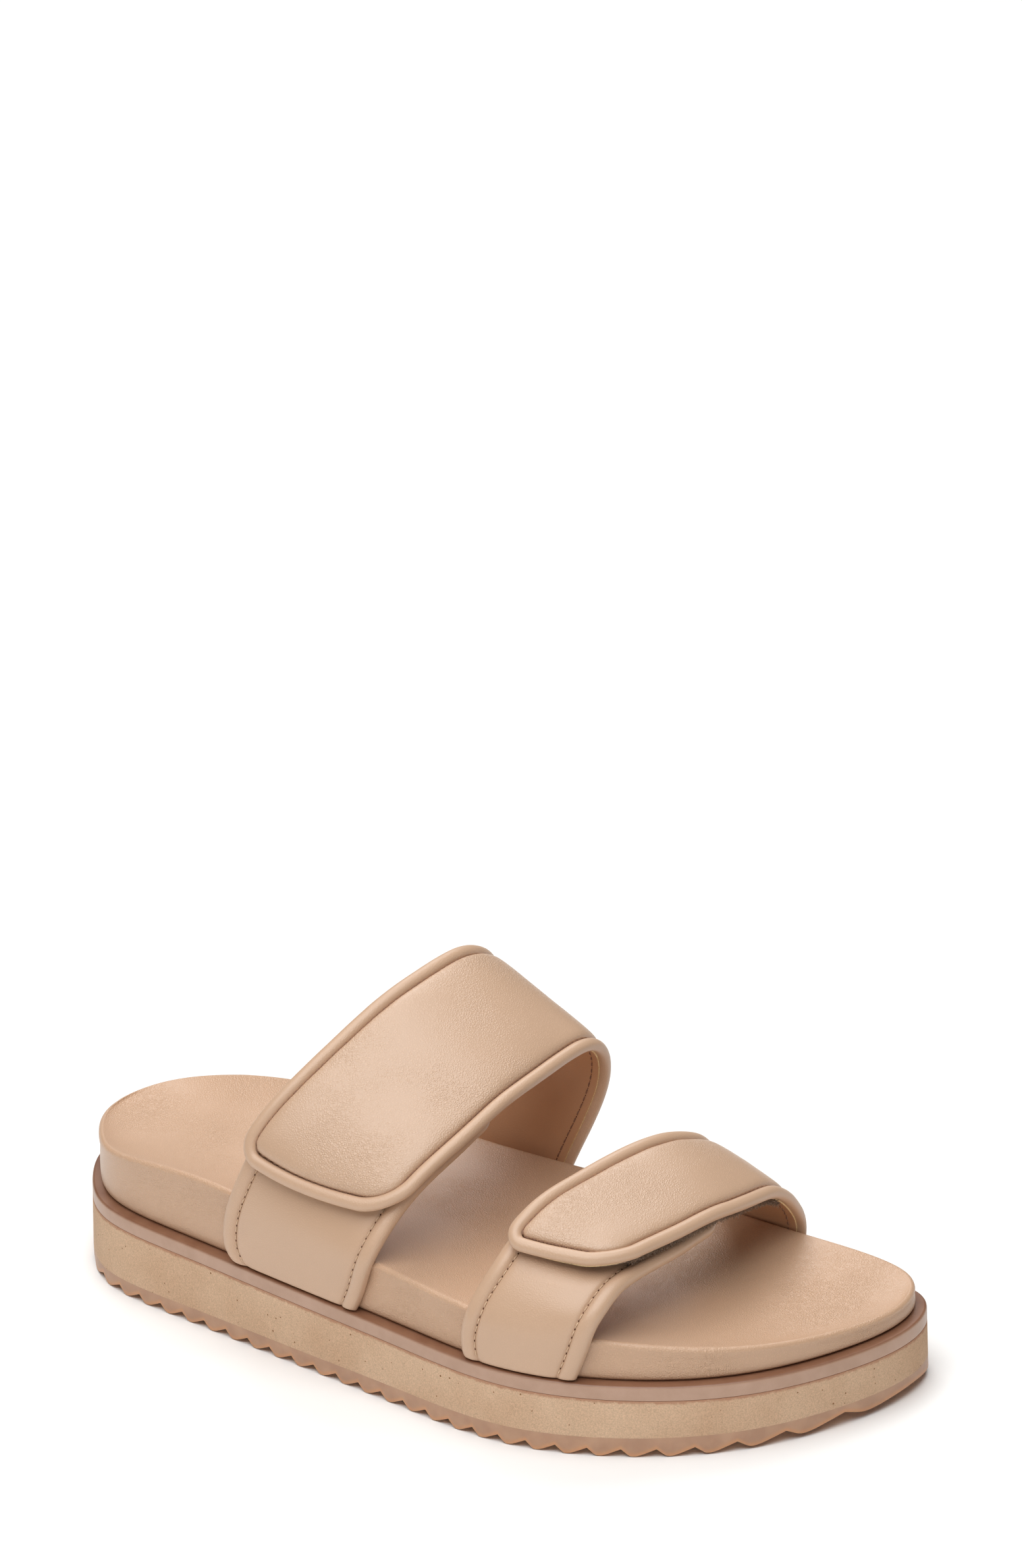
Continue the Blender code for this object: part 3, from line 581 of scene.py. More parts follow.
def leather(name, colour, grain, gloss, specular=0.5):
    """Pressed grain material, its shader and its relief; grain says how strong the grain is."""
    look, shader = new_look(name, {"Roughness": gloss, "IOR": 1.5, "Specular IOR Level": specular})
    place = add(look, "TexCoord", {}).outputs["Object"]
    sway = add(look, "TexNoise", {"Scale": 800.0, "Detail": 2.0}, {"Vector": place})
    warp = {"operation": "MULTIPLY_ADD", 1: (0.0006,) * 3}
    bent = add(look, "VectorMath", warp, {0: sway.outputs["Color"], 2: place})
    edges = {"feature": "DISTANCE_TO_EDGE", "Scale": GRAIN_SCALE}
    cells = add(look, "TexVoronoi", edges, {"Vector": bent})
    swell = {"interpolation_type": "SMOOTHSTEP", "From Max": 0.34}
    plump = add(look, "MapRange", swell, {"Value": cells})
    fine = add(look, "TexNoise", {"Scale": FINE_SCALE, "Detail": 3.0}, {"Vector": place})
    relief = add(look, "Math", {"operation": "MULTIPLY_ADD", 1: 0.35}, {0: fine, 2: plump})
    patch = add(look, "TexNoise", {"Scale": PATCH_SCALE, "Detail": 2.0}, {"Vector": place})
    fade = add(look, "MapRange", {"From Min": 0.40, "From Max": 0.64, "To Min": 0.25}, {"Value": patch})
    relief = add(look, "Math", {"operation": "MULTIPLY"}, {0: relief, 1: fade})
    bump = add(look, "Bump", {"Strength": grain, "Distance": GRAIN_DEEP}, {"Height": relief})
    dent = add(look, "TexNoise", {"Scale": DENT_SCALE, "Detail": 2.0}, {"Vector": place})
    bump = add(look, "Bump", {"Strength": 0.16, "Distance": 0.0005}, {"Height": dent, "Normal": bump})
    # Painted shade: the grain's creases between the cells are darkened, by up to 7 % times the grain
    # strength
    crease_shade = add(look, "MapRange", {"To Min": 1.0 - 0.07 * grain, "To Max": 1.005}, {"Value": plump})
    cloudy = {"From Min": 0.3, "From Max": 0.7, "To Min": 0.975, "To Max": 1.02}
    blush = add(look, "MapRange", cloudy, {"Value": patch})
    shade = add(look, "Math", {"operation": "MULTIPLY"}, {0: crease_shade, 1: blush})
    tone = add(look, "VectorMath", {"operation": "SCALE", 0: linear(colour)[:3]}, {"Scale": shade})
    rough = add(look, "MapRange", {"To Min": gloss + 0.07, "To Max": gloss - 0.05}, {"Value": fine})
    link(look, shader, {"Base Color": tone, "Normal": bump, "Roughness": rough})
    return look, shader, bump


cover, shader, bump = leather("pressed_grain_footbed_cover", "#CFA98A", 0.9, 0.36, 0.6)
place = add(cover, "TexCoord", {}).outputs["Object"]
far = add(cover, "VectorMath", {"operation": "DISTANCE", 1: (0.105, -0.0295, 0.0262)}, {0: place})
near = add(cover, "MapRange", {"From Min": 0.0075, "From Max": 0.0035}, {"Value": far})
squeeze = add(cover, "Mapping", {"Scale": (1.0, 1.0, 0.08)}, {"Vector": place})
lines = add(cover, "TexNoise", {"Scale": 1150.0, "Detail": 1.5}, {"Vector": squeeze})
fold = add(cover, "Math", {"operation": "MULTIPLY"}, {0: lines, 1: near})
pull = add(cover, "Bump", {"Strength": 1.0, "Distance": 0.0005}, {"Height": fold, "Normal": bump})
link(cover, shader, {"Normal": pull})
footbed.data.materials.append(cover)
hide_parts("footbed")
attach(footbed, "root")

# Strap panels
# On the little toe side each strap starts as a panel that comes up out of the welt. A padded roll is
# folded round its edges and sewn down in a groove, so that the panel swells between the rolls. The
# rows below are the straps' edges in millimetres, from the little toe side to the big toe side.
STRAP_GAP, WALL = 0.0003, 0.0024
BOW_GONE, BOW_FADE = 0.062, 0.042
REAR_STRAP_REAR_EDGE = [
    (-57.10, -40.00, 31.01),
    (-55.74, -41.08, 41.62),
    (-53.02, -41.08, 49.23),
    (-48.39, -38.91, 60.93),
    (-44.86, -34.28, 69.90),
    (-39.42, -25.31, 79.15),
    (-34.25, -12.52, 87.31),
    (-28.54, 4.34, 96.02),
    (-23.37, 19.84, 102.00),
    (-20.38, 33.44, 104.18),
    (-19.83, 44.05, 100.37),
    (-21.46, 50.85, 93.02),
    (-25.54, 55.20, 79.97),
    (-30.98, 53.57, 63.10),
    (-36.42, 47.04, 44.88),
]
REAR_STRAP_FRONT_EDGE = [
    (-2.97, -47.88, 31.55),
    (0.57, -48.16, 41.07),
    (3.83, -42.99, 50.32),
    (7.10, -33.74, 58.48),
    (10.09, -24.76, 63.65),
    (12.54, -14.43, 67.73),
    (15.26, -0.56, 72.90),
    (17.98, 14.68, 77.25),
    (19.88, 29.64, 80.24),
    (20.97, 40.52, 79.97),
    (20.70, 47.59, 74.80),
    (18.52, 50.85, 64.19),
    (14.98, 48.68, 52.50),
    (10.09, 45.41, 39.98),
    (7.10, 43.51, 31.55),
]
FRONT_STRAP_REAR_EDGE = [
    (36.47, -55.77, 29.92),
    (38.10, -55.50, 37.54),
    (39.74, -52.51, 43.52),
    (42.73, -47.34, 51.14),
    (44.90, -40.27, 57.66),
    (46.81, -31.29, 62.29),
    (49.53, -18.24, 64.46),
    (53.06, -4.09, 66.37),
    (56.06, 6.79, 67.18),
    (58.50, 16.58, 66.64),
    (60.41, 25.83, 64.46),
    (60.95, 32.63, 61.47),
    (60.41, 40.52, 54.13),
    (58.78, 45.14, 44.61),
    (56.60, 46.77, 34.00),
]
FRONT_STRAP_FRONT_EDGE = [
    (75.91, -51.15, 30.46),
    (78.90, -49.24, 40.26),
    (80.26, -45.16, 44.88),
    (81.08, -39.45, 48.14),
    (81.90, -32.38, 49.50),
    (83.53, -22.32, 50.05),
    (85.43, -11.16, 50.59),
    (86.79, 0.80, 51.41),
    (88.15, 10.60, 51.41),
    (89.51, 20.66, 51.55),
    (90.33, 29.64, 51.10),
    (90.87, 36.71, 47.87),
    (90.33, 42.96, 42.43),
    (88.97, 47.86, 35.90),
    (88.15, 48.68, 29.38),
]

def run_along(line):
    """Length along a line of points at each of them."""
    return np.concatenate([[0.0], np.cumsum(np.linalg.norm(np.diff(line, axis=0), axis=1))])


def on_line(at, run, line):
    return np.stack([np.interp(at, run, line[:, k]) for k in range(3)], -1)


class Strap:
    """An arch over the foot between a rear and a front edge.

    A place on it is a length from the little toe side, a share across and a height over the panel.
    The panel ends at reach. The flap's free end has a length and a radius for each of its two corners
    and stands over the panel's edges by the overhang. Front end holds how far its front edge is set
    back, how far it stands off the panel, and how far the free end bulges.
    """

    def __init__(self, name, feet, rear, front, reach, free, radii, overhang, front_end):
        self.name, self.feet, self.reach, self.free = name, np.array(feet) / 1000, reach, free
        self.radii, self.overhang = radii, overhang
        self.set_back, self.stand_off, self.end_bulge = front_end
        self.edges = []
        for rows, little, big in ((rear, 0, 2), (front, 1, 3)):
            rows = np.array(rows) / 1000
            line = spline(np.vstack([self.foot(self.feet[little], -1), rows, self.foot(self.feet[big], 1)]))
            self.edges.append((line, run_along(line)))
        self.length = sum(run[-1] for _, run in self.edges) / 2

    def foot(self, x, side):
        wide = little_side if side < 0 else big_side
        edge = np.interp(x, wide[:, 0], wide[:, 1])
        out = FOOT_EDGE - STRAP_GAP - WALL
        return np.stack(np.broadcast_arrays(x, edge - side * out, welt_top(x) + STRAP_GAP), -1)

    def bow(self, across, side):
        """How far the strap swings out between its edges to follow the footbed's side."""
        rear, front = self.feet[:2] if side < 0 else self.feet[2:]
        between = self.foot(rear, side) * (1 - across) + self.foot(front, side) * across
        return self.foot(rear + (front - rear) * across[..., 0], side) - between

    def flat(self, along, across):
        along, across = np.broadcast_arrays(np.asarray(along, float), np.asarray(across, float))
        ends = [on_line(along / self.length * run[-1], run, line) for line, run in self.edges]
        across = across[..., None]
        place = ends[0] * (1 - across) + ends[1] * across
        for side, climb in ((-1, along), (1, self.length - along)):
            fade = np.clip((BOW_GONE - climb) / BOW_FADE, 0.0, 1.0)
            place = place + (fade * fade * (3 - 2 * fade))[..., None] * self.bow(across, side)
        return place

    def normal(self, along, across):
        along, across = np.broadcast_arrays(np.asarray(along, float), np.asarray(across, float))
        low, high = np.maximum(along - 0.001, 0.0), np.minimum(along + 0.001, self.length)
        forward = self.flat(along, np.ones_like(across)) - self.flat(along, np.zeros_like(across))
        out = np.cross(forward, self.flat(high, across) - self.flat(low, across))
        out[..., 2] *= np.minimum(1.0, np.minimum(along, self.length - along) / 0.006)
        return out / np.linalg.norm(out, axis=-1, keepdims=True)

    def place(self, along, across, height):
        return self.flat(along, across) + np.asarray(height)[..., None] * self.normal(along, across)

    def width(self, along):
        forward = self.flat(along, np.ones_like(along)) - self.flat(along, np.zeros_like(along))
        return np.linalg.norm(forward, axis=-1)


def spread(start, end, count, length):
    """Places along a length: set distances from its start, an even run, set distances from its end."""
    start, end = np.array(start), np.array(end)
    even = start[-1] + (length - start[-1] - end[-1]) * np.linspace(0, 1, count + 2)[1:-1]
    return np.concatenate([start, even, length - end[::-1]])


def corner_cut(edge, radius):
    """How far a rounded end stands back at this distance from the side."""
    inner = np.clip(radius - edge, 0.0, None)
    return radius - np.sqrt(np.clip(radius**2 - inner**2, 0.0, None))


def from_edge(side, end, radius):
    """Distance from the outline of a strip whose end has rounded corners."""
    inside = radius - np.hypot(np.clip(radius - side, 0.0, None), np.clip(radius - end, 0.0, None))
    return np.where((side < radius) & (end < radius), inside, np.minimum(side, end))


def ring_of(upper, lower):
    """Rows of upper points and the matching rows of lower points as one closed wrap."""
    return np.concatenate([upper, lower[:, ::-1], upper[:, :1]], axis=1)


STRAPS = [
    Strap(
        name="rear",
        feet=(-54.38, -6.50, -41.86, 4.10),
        rear=REAR_STRAP_REAR_EDGE,
        front=REAR_STRAP_FRONT_EDGE,
        reach=0.090,
        free=(0.0345, 0.0365),
        radii=(0.0075, 0.0125),
        overhang=0.0010,
        front_end=(0.0, 0.0, 0.0026),
    ),
    Strap(
        name="front",
        feet=(37.29, 72.65, 54.42, 87.06),
        rear=FRONT_STRAP_REAR_EDGE,
        front=FRONT_STRAP_FRONT_EDGE,
        reach=0.087,
        free=(0.0335, 0.0368),
        radii=(0.0070, 0.0105),
        overhang=0.0003,
        front_end=(0.0030, 0.0020, 0.0004),
    ),
]
# Section of a panel from its edge inwards, in millimetres: distance from the edge and height of the
# outer face
ROLL_SECTION = [
    (0.0, -1.30),
    (0.06, -0.80),
    (0.22, -0.25),
    (0.5, 0.22),
    (0.9, 0.58),
    (1.4, 0.84),
    (2.0, 1.02),
    (2.7, 1.08),
    (3.4, 1.02),
    (4.0, 0.82),
    (4.5, 0.50),
    (4.85, 0.12),
    (5.1, -0.28),
    (5.3, -0.40),
    (5.5, -0.32),
    (5.75, -0.06),
    (6.1, 0.18),
    (6.7, 0.36),
    (7.6, 0.48),
    (9.0, 0.55),
]
PANEL_CORNERS = (0.012, 0.009)
PANEL_FOOT = (0.0, 0.0001, 0.0003, 0.0006, 0.001, 0.0016, 0.0024, 0.0035)
FOLD, FOOT_ROUND = -0.0013, 0.0022
BACK_DEPTH, BACK_HEIGHT = (0.0, 0.0001, 0.0004, 0.0012), (FOLD, -0.0019, -0.0023, -0.0024)
section = np.array(ROLL_SECTION) / 1000
hide = leather("pressed_grain_strap_cover", "#CDAA8D", 0.8, 0.36, 0.75)[0]

# The same faux leather pulled tight over a roll or a cord, which flattens its grain
stretched = leather("stretched_strap_cover", "#CDAA8D", 0.3, 0.38, 0.65)[0]
for strap in STRAPS:
    far_width = strap.width(np.array(strap.reach))
    edge = spread(section[:, 0], section[:, 0], 11, far_width)
    radius = np.where(edge < far_width / 2, *PANEL_CORNERS)
    end = strap.reach - corner_cut(np.minimum(edge, far_width - edge), radius)
    along = np.array([spread(PANEL_FOOT, section[:, 0], 36, stop) for stop in end]).T
    wide = strap.width(along)
    near = section[-1, 0]
    share = np.where(edge < near, edge / wide, 1 - (far_width - edge) / wide)
    middle = (edge >= near) & (edge <= far_width - near)
    inner = near + (edge - near) / (far_width - 2 * near) * (wide - 2 * near)
    share = np.where(middle, inner / wide, share)
    side = np.minimum(share, 1 - share) * wide
    depth = from_edge(side, strap.reach - along, radius)
    height = np.interp(depth, section[:, 0], section[:, 1])
    foot_end = np.clip(along / FOOT_ROUND, 0.0, 1.0)
    height = FOLD + (height - FOLD) * np.sqrt(1 - (1 - foot_end) ** 2)
    under = np.interp(np.minimum(depth, along), BACK_DEPTH, BACK_HEIGHT)
    points = ring_of(strap.place(along, share, height), strap.place(along, share, under))
    panel = lay_grid(strap.name + "_strap_panel", points)
    panel.data.materials.append(stretched)
    close_up(panel)
    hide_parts(strap.name + "_strap_base")
    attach(panel, "root")

# Stitching of the panels
# A lock stitch in a light thread sits down in the groove beside each roll. Its stitches are 2.6 mm
# apart, and its needle holes between them are painted as dark dots of shade.
STITCH_LINE, STITCH_PITCH, STITCH_SUNK = 0.0053, 0.0026, 0.00022
STITCH_HALF, STITCH_THICK, STITCH_RISE, STITCH_DIVE = 0.00095, 0.00021, 0.00012, 0.00028
HOLE_LONG, HOLE_WIDE, HOLE_AT, HOLE_DEEP = 0.0003, 0.00022, 0.0013, 0.00005


def repeat(name, model, frames):
    """One mesh of many copies of a model, each set into its own frame."""
    points = np.array([v.co for v in model.data.vertices])
    faces = [np.array(p.vertices) for p in model.data.polygons]
    frames = np.array(frames)
    laid = np.einsum("nij,pj->npi", frames[:, :3, :3], points) + frames[:, None, :3, 3]
    mesh = bpy.data.meshes.new(name)
    copies = [tuple(face + i * len(points)) for i in range(len(frames)) for face in faces]
    mesh.from_pydata(laid.reshape(-1, 3), [], copies)
    mesh.polygons.foreach_set("use_smooth", [True] * len(mesh.polygons))
    piece = bpy.data.objects.new(name, mesh)
    bpy.context.scene.collection.objects.link(piece)
    return piece


def sewn(path, normals, pitch):
    """Frames along a path, one for each stitch: X along the path and Z off the surface."""
    run = run_along(path)
    count = int(run[-1] / pitch)
    frames = []
    for k in range(count):
        at = (k + 0.5) * run[-1] / count
        forward = on_line(at + 0.0004, run, path) - on_line(at - 0.0004, run, path)
        forward /= np.linalg.norm(forward)
        out = on_line(at, run, normals)
        out = out - forward * (out @ forward)
        out /= np.linalg.norm(out)
        frames.append(np.column_stack([forward, np.cross(out, forward), out, on_line(at, run, path)]))
    return frames


bpy.ops.object.select_all(action="DESELECT")
bpy.ops.mesh.primitive_cylinder_add(vertices=8, radius=1.0, depth=2.0, rotation=(0, math.pi / 2, 0))
stitch_model = bpy.context.object
bpy.ops.object.transform_apply(rotation=True)
bpy.ops.object.mode_set(mode="EDIT")
select_by(stitch_model, "edges", lambda e: abs(e.verts[0].co.x - e.verts[1].co.x) > 1.0)
bpy.ops.mesh.subdivide(number_cuts=5)
bpy.ops.object.mode_set(mode="OBJECT")
for vertex in stitch_model.data.vertices:
    x, y, z = vertex.co
    thin = (1 - 0.55 * abs(x) ** 3) * STITCH_THICK
    dive = STITCH_RISE - STITCH_DIVE * abs(x) ** 2.4
    vertex.co = (x * STITCH_HALF, y * thin * 1.15, z * thin + dive)
bpy.ops.object.select_all(action="DESELECT")
bpy.ops.mesh.primitive_circle_add(vertices=10, radius=1.0, fill_type="NGON")
hole_model = bpy.context.object
bpy.ops.object.mode_set(mode="EDIT")
bpy.ops.mesh.select_all(action="SELECT")
bpy.ops.mesh.inset(thickness=0.35)
bpy.ops.object.mode_set(mode="OBJECT")
for vertex in hole_model.data.vertices:
    x, y, z = vertex.co
    level = HOLE_DEEP if math.hypot(x, y) < 0.8 else -HOLE_DEEP
    vertex.co = (x * HOLE_LONG + HOLE_AT, y * HOLE_WIDE, level)


def mottled_look(name, settings, grain, ramp, relief=None):
    """A material of two mixed tones: grain is the mix's scale and detail, relief its bump."""
    look, shader = new_look(name, settings)
    place = add(look, "TexCoord", {}).outputs["Object"]
    mix = add(look, "TexNoise", {"Scale": grain[0], "Detail": grain[1]}, {"Vector": place})
    link(look, shader, {"Base Color": add(look, "ValToRGB", {"ramp": ramp}, {0: mix})})
    if relief:
        bump = add(look, "Bump", {"Strength": relief[0], "Distance": relief[1]}, {"Height": mix})
        link(look, shader, {"Normal": bump})
    return look


# Bonded polyester thread: each stitch is a plump, slightly shiny lozenge
shiny = {"Roughness": 0.5, "IOR": 1.5}
light, brown = [(0.35, "#C4A384"), (0.65, "#DDC1A2")], [(0.35, "#7A5540"), (0.65, "#97705A")]
thread = mottled_look("light_polyester_thread", shiny, (2500.0, 2.0), light, (0.6, 0.00005))
# Brown thread, dark partly as painted shade: in the groove between flap pad and bead it stands for the
# groove's shade as well as for the stitches; it also sews the linings
brown_thread_and_shade = mottled_look("brown_thread_and_painted_shade", shiny, (2500.0, 2.0), brown, (0.6, 0.00005))

# Needle holes: dark, dull discs painted as the shade down each hole
dull = {"Roughness": 0.9, "IOR": 1.45, "Specular IOR Level": 0.15}
needle_hole_shade = mottled_look("needle_hole_painted_shade", dull, (1800.0, 2.0), [(0.35, "#4E3325"), (0.65, "#7A5743")])


def sew(name, routes, pitch, yarn, holes=True):
    """Lays stitches and needle holes along routes on a strap."""
    frames = [one for path, normals in routes for one in sewn(path, normals, pitch)]
    laid = [(name, stitch_model, yarn)]
    if holes:
        laid.append((name + "_holes", hole_model, needle_hole_shade))
    for part, model, look in laid:
        piece = repeat(part, model, frames)
        piece.data.materials.append(look)
        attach(piece, "root")


for strap in STRAPS:
    routes = []
    for front in (False, True):
        along = np.linspace(0.0015, strap.reach - 0.012, 160)
        share = STITCH_LINE / strap.width(along)
        share = 1 - share if front else share
        routes.append((strap.place(along, share, np.full(160, -STITCH_SUNK)), strap.normal(along, share)))
    sew(strap.name + "_panel_stitching", routes, STITCH_PITCH, thread)

# Hook and loop pads
# A woven pad of fuzzy loops is sewn inside each flap and grips the pad on the panel. On the front
# strap its loops stand out in the gap below the flap's front edge.
FLAP, LINING, CLOSED = 0.0042, 0.0007, 0.0018
LET_EARLY, LET_DOWN, STAND_PAST, STAND_FADE, FLAP_FADE = 0.004, 0.042, 0.020, 0.045, 0.030
# How far each pad lies inside the flap's edge and how far it runs on past the panel's end
LOOP_PADS = {"rear": (0.0030, -0.006), "front": (0.0018, 0.028)}
LOOP_CORNERS, LOOP_STEPS = (0.005, 0.007), (0.0, 0.0001, 0.0005, 0.0015)
FIBRES, FIBRE_RADIUS, FIBRE_LENGTH, FIBRE_CURL = 3600, 0.00005, 0.0012, 0.0007


def flap_width(strap, along):
    """Width of the flap, whose front edge lies back at the free end up to where the panel ends."""
    held_off = np.clip((strap.reach - along) / (strap.reach - strap.free[1]), 0.0, 1.0)
    return strap.width(along) + 2 * strap.overhang - strap.set_back * held_off


def free_line(strap, across):
    """Length along the strap at which the free end lies, at a share across the flap."""
    line = strap.free[0] + (strap.free[1] - strap.free[0]) * across
    return line - strap.end_bulge * 4 * across * (1 - across)


def flap_spot(strap, along, edge):
    """Share across the arch and height of the lining, at a distance from the flap's rear edge.

    The lining lies over the closed pads first and is then let down to the strap's own line.
    """
    t = np.clip((along - strap.reach + LET_EARLY) / LET_DOWN, 0.0, 1.0)
    part = np.clip((strap.reach + STAND_PAST - along) / STAND_FADE, 0.0, 1.0)
    across = np.clip(edge / flap_width(strap, along), 0.0, 1.0)
    off = strap.stand_off * part * part * (3 - 2 * part) * across**1.5
    under = CLOSED + (-WALL - CLOSED) * t * t * (3 - 2 * t) + off
    return (edge - strap.overhang) / strap.width(along), under


def flap_fill(strap, along):
    """How full the flap is: whole over the foot, thin where it goes into the sole."""
    left = np.clip((strap.length - along) / FLAP_FADE, 0.0, 1.0)
    return (WALL + (FLAP - WALL) * left) / FLAP


def flap_grid(strap, inset, radii, near, count, rows, foot=None):
    """Lengths, distances from the flap's rear edge and from its outline, for a strip inside the flap."""
    start_width = float(flap_width(strap, np.array(strap.free[0]))) - 2 * inset
    edge = spread(near, near, count, start_width)
    side = np.minimum(edge, start_width - edge)
    radius = np.where(edge < start_width / 2, *radii)
    line = free_line(strap, edge / start_width) + inset
    start = line + corner_cut(side, radius)
    stop = strap.length if foot is None else foot
    along = np.array([spread(near, (0.0,), rows, stop - s) + s for s in start]).T
    wide = flap_width(strap, along) - 2 * inset
    last = near[-1]
    middle = (edge > last) & (edge < start_width - last)
    laid = np.where(edge <= last, edge, wide - (start_width - edge))
    laid = np.where(middle, last + (edge - last) / (start_width - 2 * last) * (wide - 2 * last), laid)
    depth = from_edge(np.minimum(laid, wide - laid), along - line, radius)
    return along, laid + inset, depth


# Brushed nylon loops: a matt fuzz, mottled with painted shade between the loops and painted light on them
brushed, loop_light_and_shade = {"Roughness": 0.8, "IOR": 1.53}, [(0.3, "#6E5849"), (0.7, "#B59C86")]
fuzz = mottled_look("brushed_nylon_loops", brushed, (1700.0, 3.0), loop_light_and_shade, (1.0, 0.0003))

bpy.ops.object.select_all(action="DESELECT")
bpy.ops.mesh.primitive_cylinder_add(vertices=3, radius=1.0, depth=1.0, location=(0, 0, 0.5))
fibre_model = bpy.context.object
bpy.ops.object.transform_apply(location=True)
bpy.ops.object.mode_set(mode="EDIT")
select_by(fibre_model, "edges", lambda e: abs(e.verts[0].co.z - e.verts[1].co.z) > 0.5)
bpy.ops.mesh.subdivide(number_cuts=3)
bpy.ops.object.mode_set(mode="OBJECT")
for vertex in fibre_model.data.vertices:
    x, y, z = vertex.co
    vertex.co = (x * FIBRE_RADIUS + FIBRE_CURL * z * z, y * FIBRE_RADIUS, z * FIBRE_LENGTH)

rng = np.random.default_rng(7)
for strap in STRAPS:
    inset, past = LOOP_PADS[strap.name]
    reach = strap.reach + past
    along, edge, depth = flap_grid(strap, inset, LOOP_CORNERS, LOOP_STEPS, 16, 40, foot=reach)
    share, under = flap_spot(strap, along, edge)
    bulk = np.sqrt(np.clip(np.minimum(depth, reach - along) / 0.0005, 0.0, 1.0))
    upper = strap.place(along, share, under - 0.00025 + 0.0002 * bulk)
    lower = strap.place(along, share, under - 0.00025 - 0.00055 * bulk)
    pad = lay_grid(strap.name + "_loop_pad", ring_of(upper, lower))
    pad.data.materials.append(fuzz)
    close_up(pad)
    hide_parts(strap.name + "_strap_tape")
    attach(pad, "root")
    if strap.name != "front":
        continue
    at = rng.uniform(strap.free[1] + 0.008, reach, FIBRES)
    inset = 0.0016 + rng.gamma(1.1, 0.0009, FIBRES)
    share, under = flap_spot(strap, at, flap_width(strap, at) - inset)
    base = strap.place(at, share, under - 0.0002)
    ahead = strap.flat(at, np.ones(FIBRES)) - strap.flat(at, np.zeros(FIBRES))
    ahead /= np.linalg.norm(ahead, axis=-1, keepdims=True)
    lean = rng.normal(0.0, 0.55, (FIBRES, 3))
    grow = -strap.normal(at, share) * rng.uniform(0.4, 1.1, (FIBRES, 1))
    grow += ahead * rng.uniform(0.0, 1.1, (FIBRES, 1)) + lean
    grow /= np.linalg.norm(grow, axis=-1, keepdims=True)
    frames = []
    for spot, z in zip(base, grow):
        x = np.cross(z, rng.normal(0, 1, 3))
        x /= np.linalg.norm(x)
        size = rng.uniform(0.6, 1.5)
        frames.append(np.column_stack([x * size, np.cross(z, x) * size, z * size, spot]))
    loops = repeat("front_loop_fibres", fibre_model, frames)
    loops.data.materials.append(fuzz)
    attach(loops, "root")
bpy.data.objects.remove(fibre_model, do_unlink=True)

# Flap lining
# The flap is lined with a smooth satin sheet, cut a little short of the bead. Its raw edge stays
# bare and shows as a thin straw-coloured line, and the bead's seam comes through as a row of stitches.
LINING_INSET, LINING_DRAW, SEAM, SEAM_OFF, CUT_EDGE = 0.0010, 0.0014, 0.0041, 0.0008, 0.00002
LINING_STEPS, LINING_PITCH = (0.0, 0.00004, 0.0005, 0.002), 0.0024

# Smooth coated cloth: a soft satin, warmer than the cover
satin = leather("smooth_satin_lining", "#CD9E79", 0.2, 0.42)[0]

# The lining's cut edge: pale, matt and a little frayed
frayed, straw = {"Roughness": 0.8, "IOR": 1.45}, [(0.35, "#D9B882"), (0.65, "#F0DBAE")]
raw = mottled_look("cut_lining_edge", frayed, (2200.0, 3.0), straw, (0.8, 0.0001))
for strap in STRAPS:
    radii = (strap.radii[0] - LINING_INSET, strap.radii[1] - LINING_INSET)
    along, edge, depth = flap_grid(strap, LINING_INSET, radii, LINING_STEPS, 30, 84)
    wide = flap_width(strap, along)
    draw = LINING_DRAW * np.clip((along - 0.070) / 0.060, 0.0, 1.0)
    edge = wide / 2 + (edge - wide / 2) * (wide - 2 * draw) / wide
    share, under = flap_spot(strap, along, edge)
    thick = LINING * np.where(depth < CUT_EDGE, 0.3, 1.0)
    upper = strap.place(along, share, under + LINING / 2 + thick / 2)
    lower = strap.place(along, share, under + LINING / 2 - thick / 2)
    outside = np.concatenate([depth, depth[:, ::-1], depth[:, :1]], axis=1) < CUT_EDGE
    cut = outside[:-1, :-1] | outside[1:, 1:] | outside[1:, :-1]
    lining = lay_grid(strap.name + "_flap_lining", ring_of(upper, lower), cut)
    lining.data.materials[0], lining.data.materials[1] = satin, raw
    close_up(lining, 50)
    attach(lining, "root")
    routes = []
    for front in (False, True):
        along = np.linspace(strap.reach + 0.006, strap.length - 0.002, 200)
        from_rear = np.full(200, SEAM + SEAM_OFF)
        edge = flap_width(strap, along) - SEAM - SEAM_OFF if front else from_rear
        share, under = flap_spot(strap, along, edge)
        routes.append((strap.place(along, share, under - 0.00002), -strap.normal(along, share)))
    sew(strap.name + "_lining_stitching", routes, LINING_PITCH, brown_thread_and_shade)

# Flap pads
# The cover of each flap is drawn over a thin sheet of soft foam and sewn down all round inside the
# bead, so it rolls over at the seam and puckers a little there.
PAD_STEPS = (0.0, 0.0001, 0.0003, 0.0006, 0.001, 0.0016, 0.0024, 0.0034, 0.0048, 0.0066, 0.009)
TIGHTER = 0.0012
# Section of a pad in millimetres: distance from its seam and height over the lining
CROWN_AT = (0.0, 0.10, 0.25, 0.5, 0.9, 1.5, 2.4, 4.0, 7.0, 12.0, 20.0)
CROWN = (0.8, 1.9, 2.6, 3.04, 3.34, 3.60, 3.83, 4.05, 4.27, 4.42, 4.48)
PUCKER, PUCKER_SCALE, PUCKER_FADE, WAVE, WAVE_SCALE = 0.28, 190.0, 0.0022, 0.12, 45.0


def uneven(points, scale):
    """Smooth unevenness between about -1 and 1 at each of these points."""
    spots = points.reshape(-1, 3)
    return np.array([noise.noise(Vector(p) * scale) for p in spots]).reshape(points.shape[:-1])


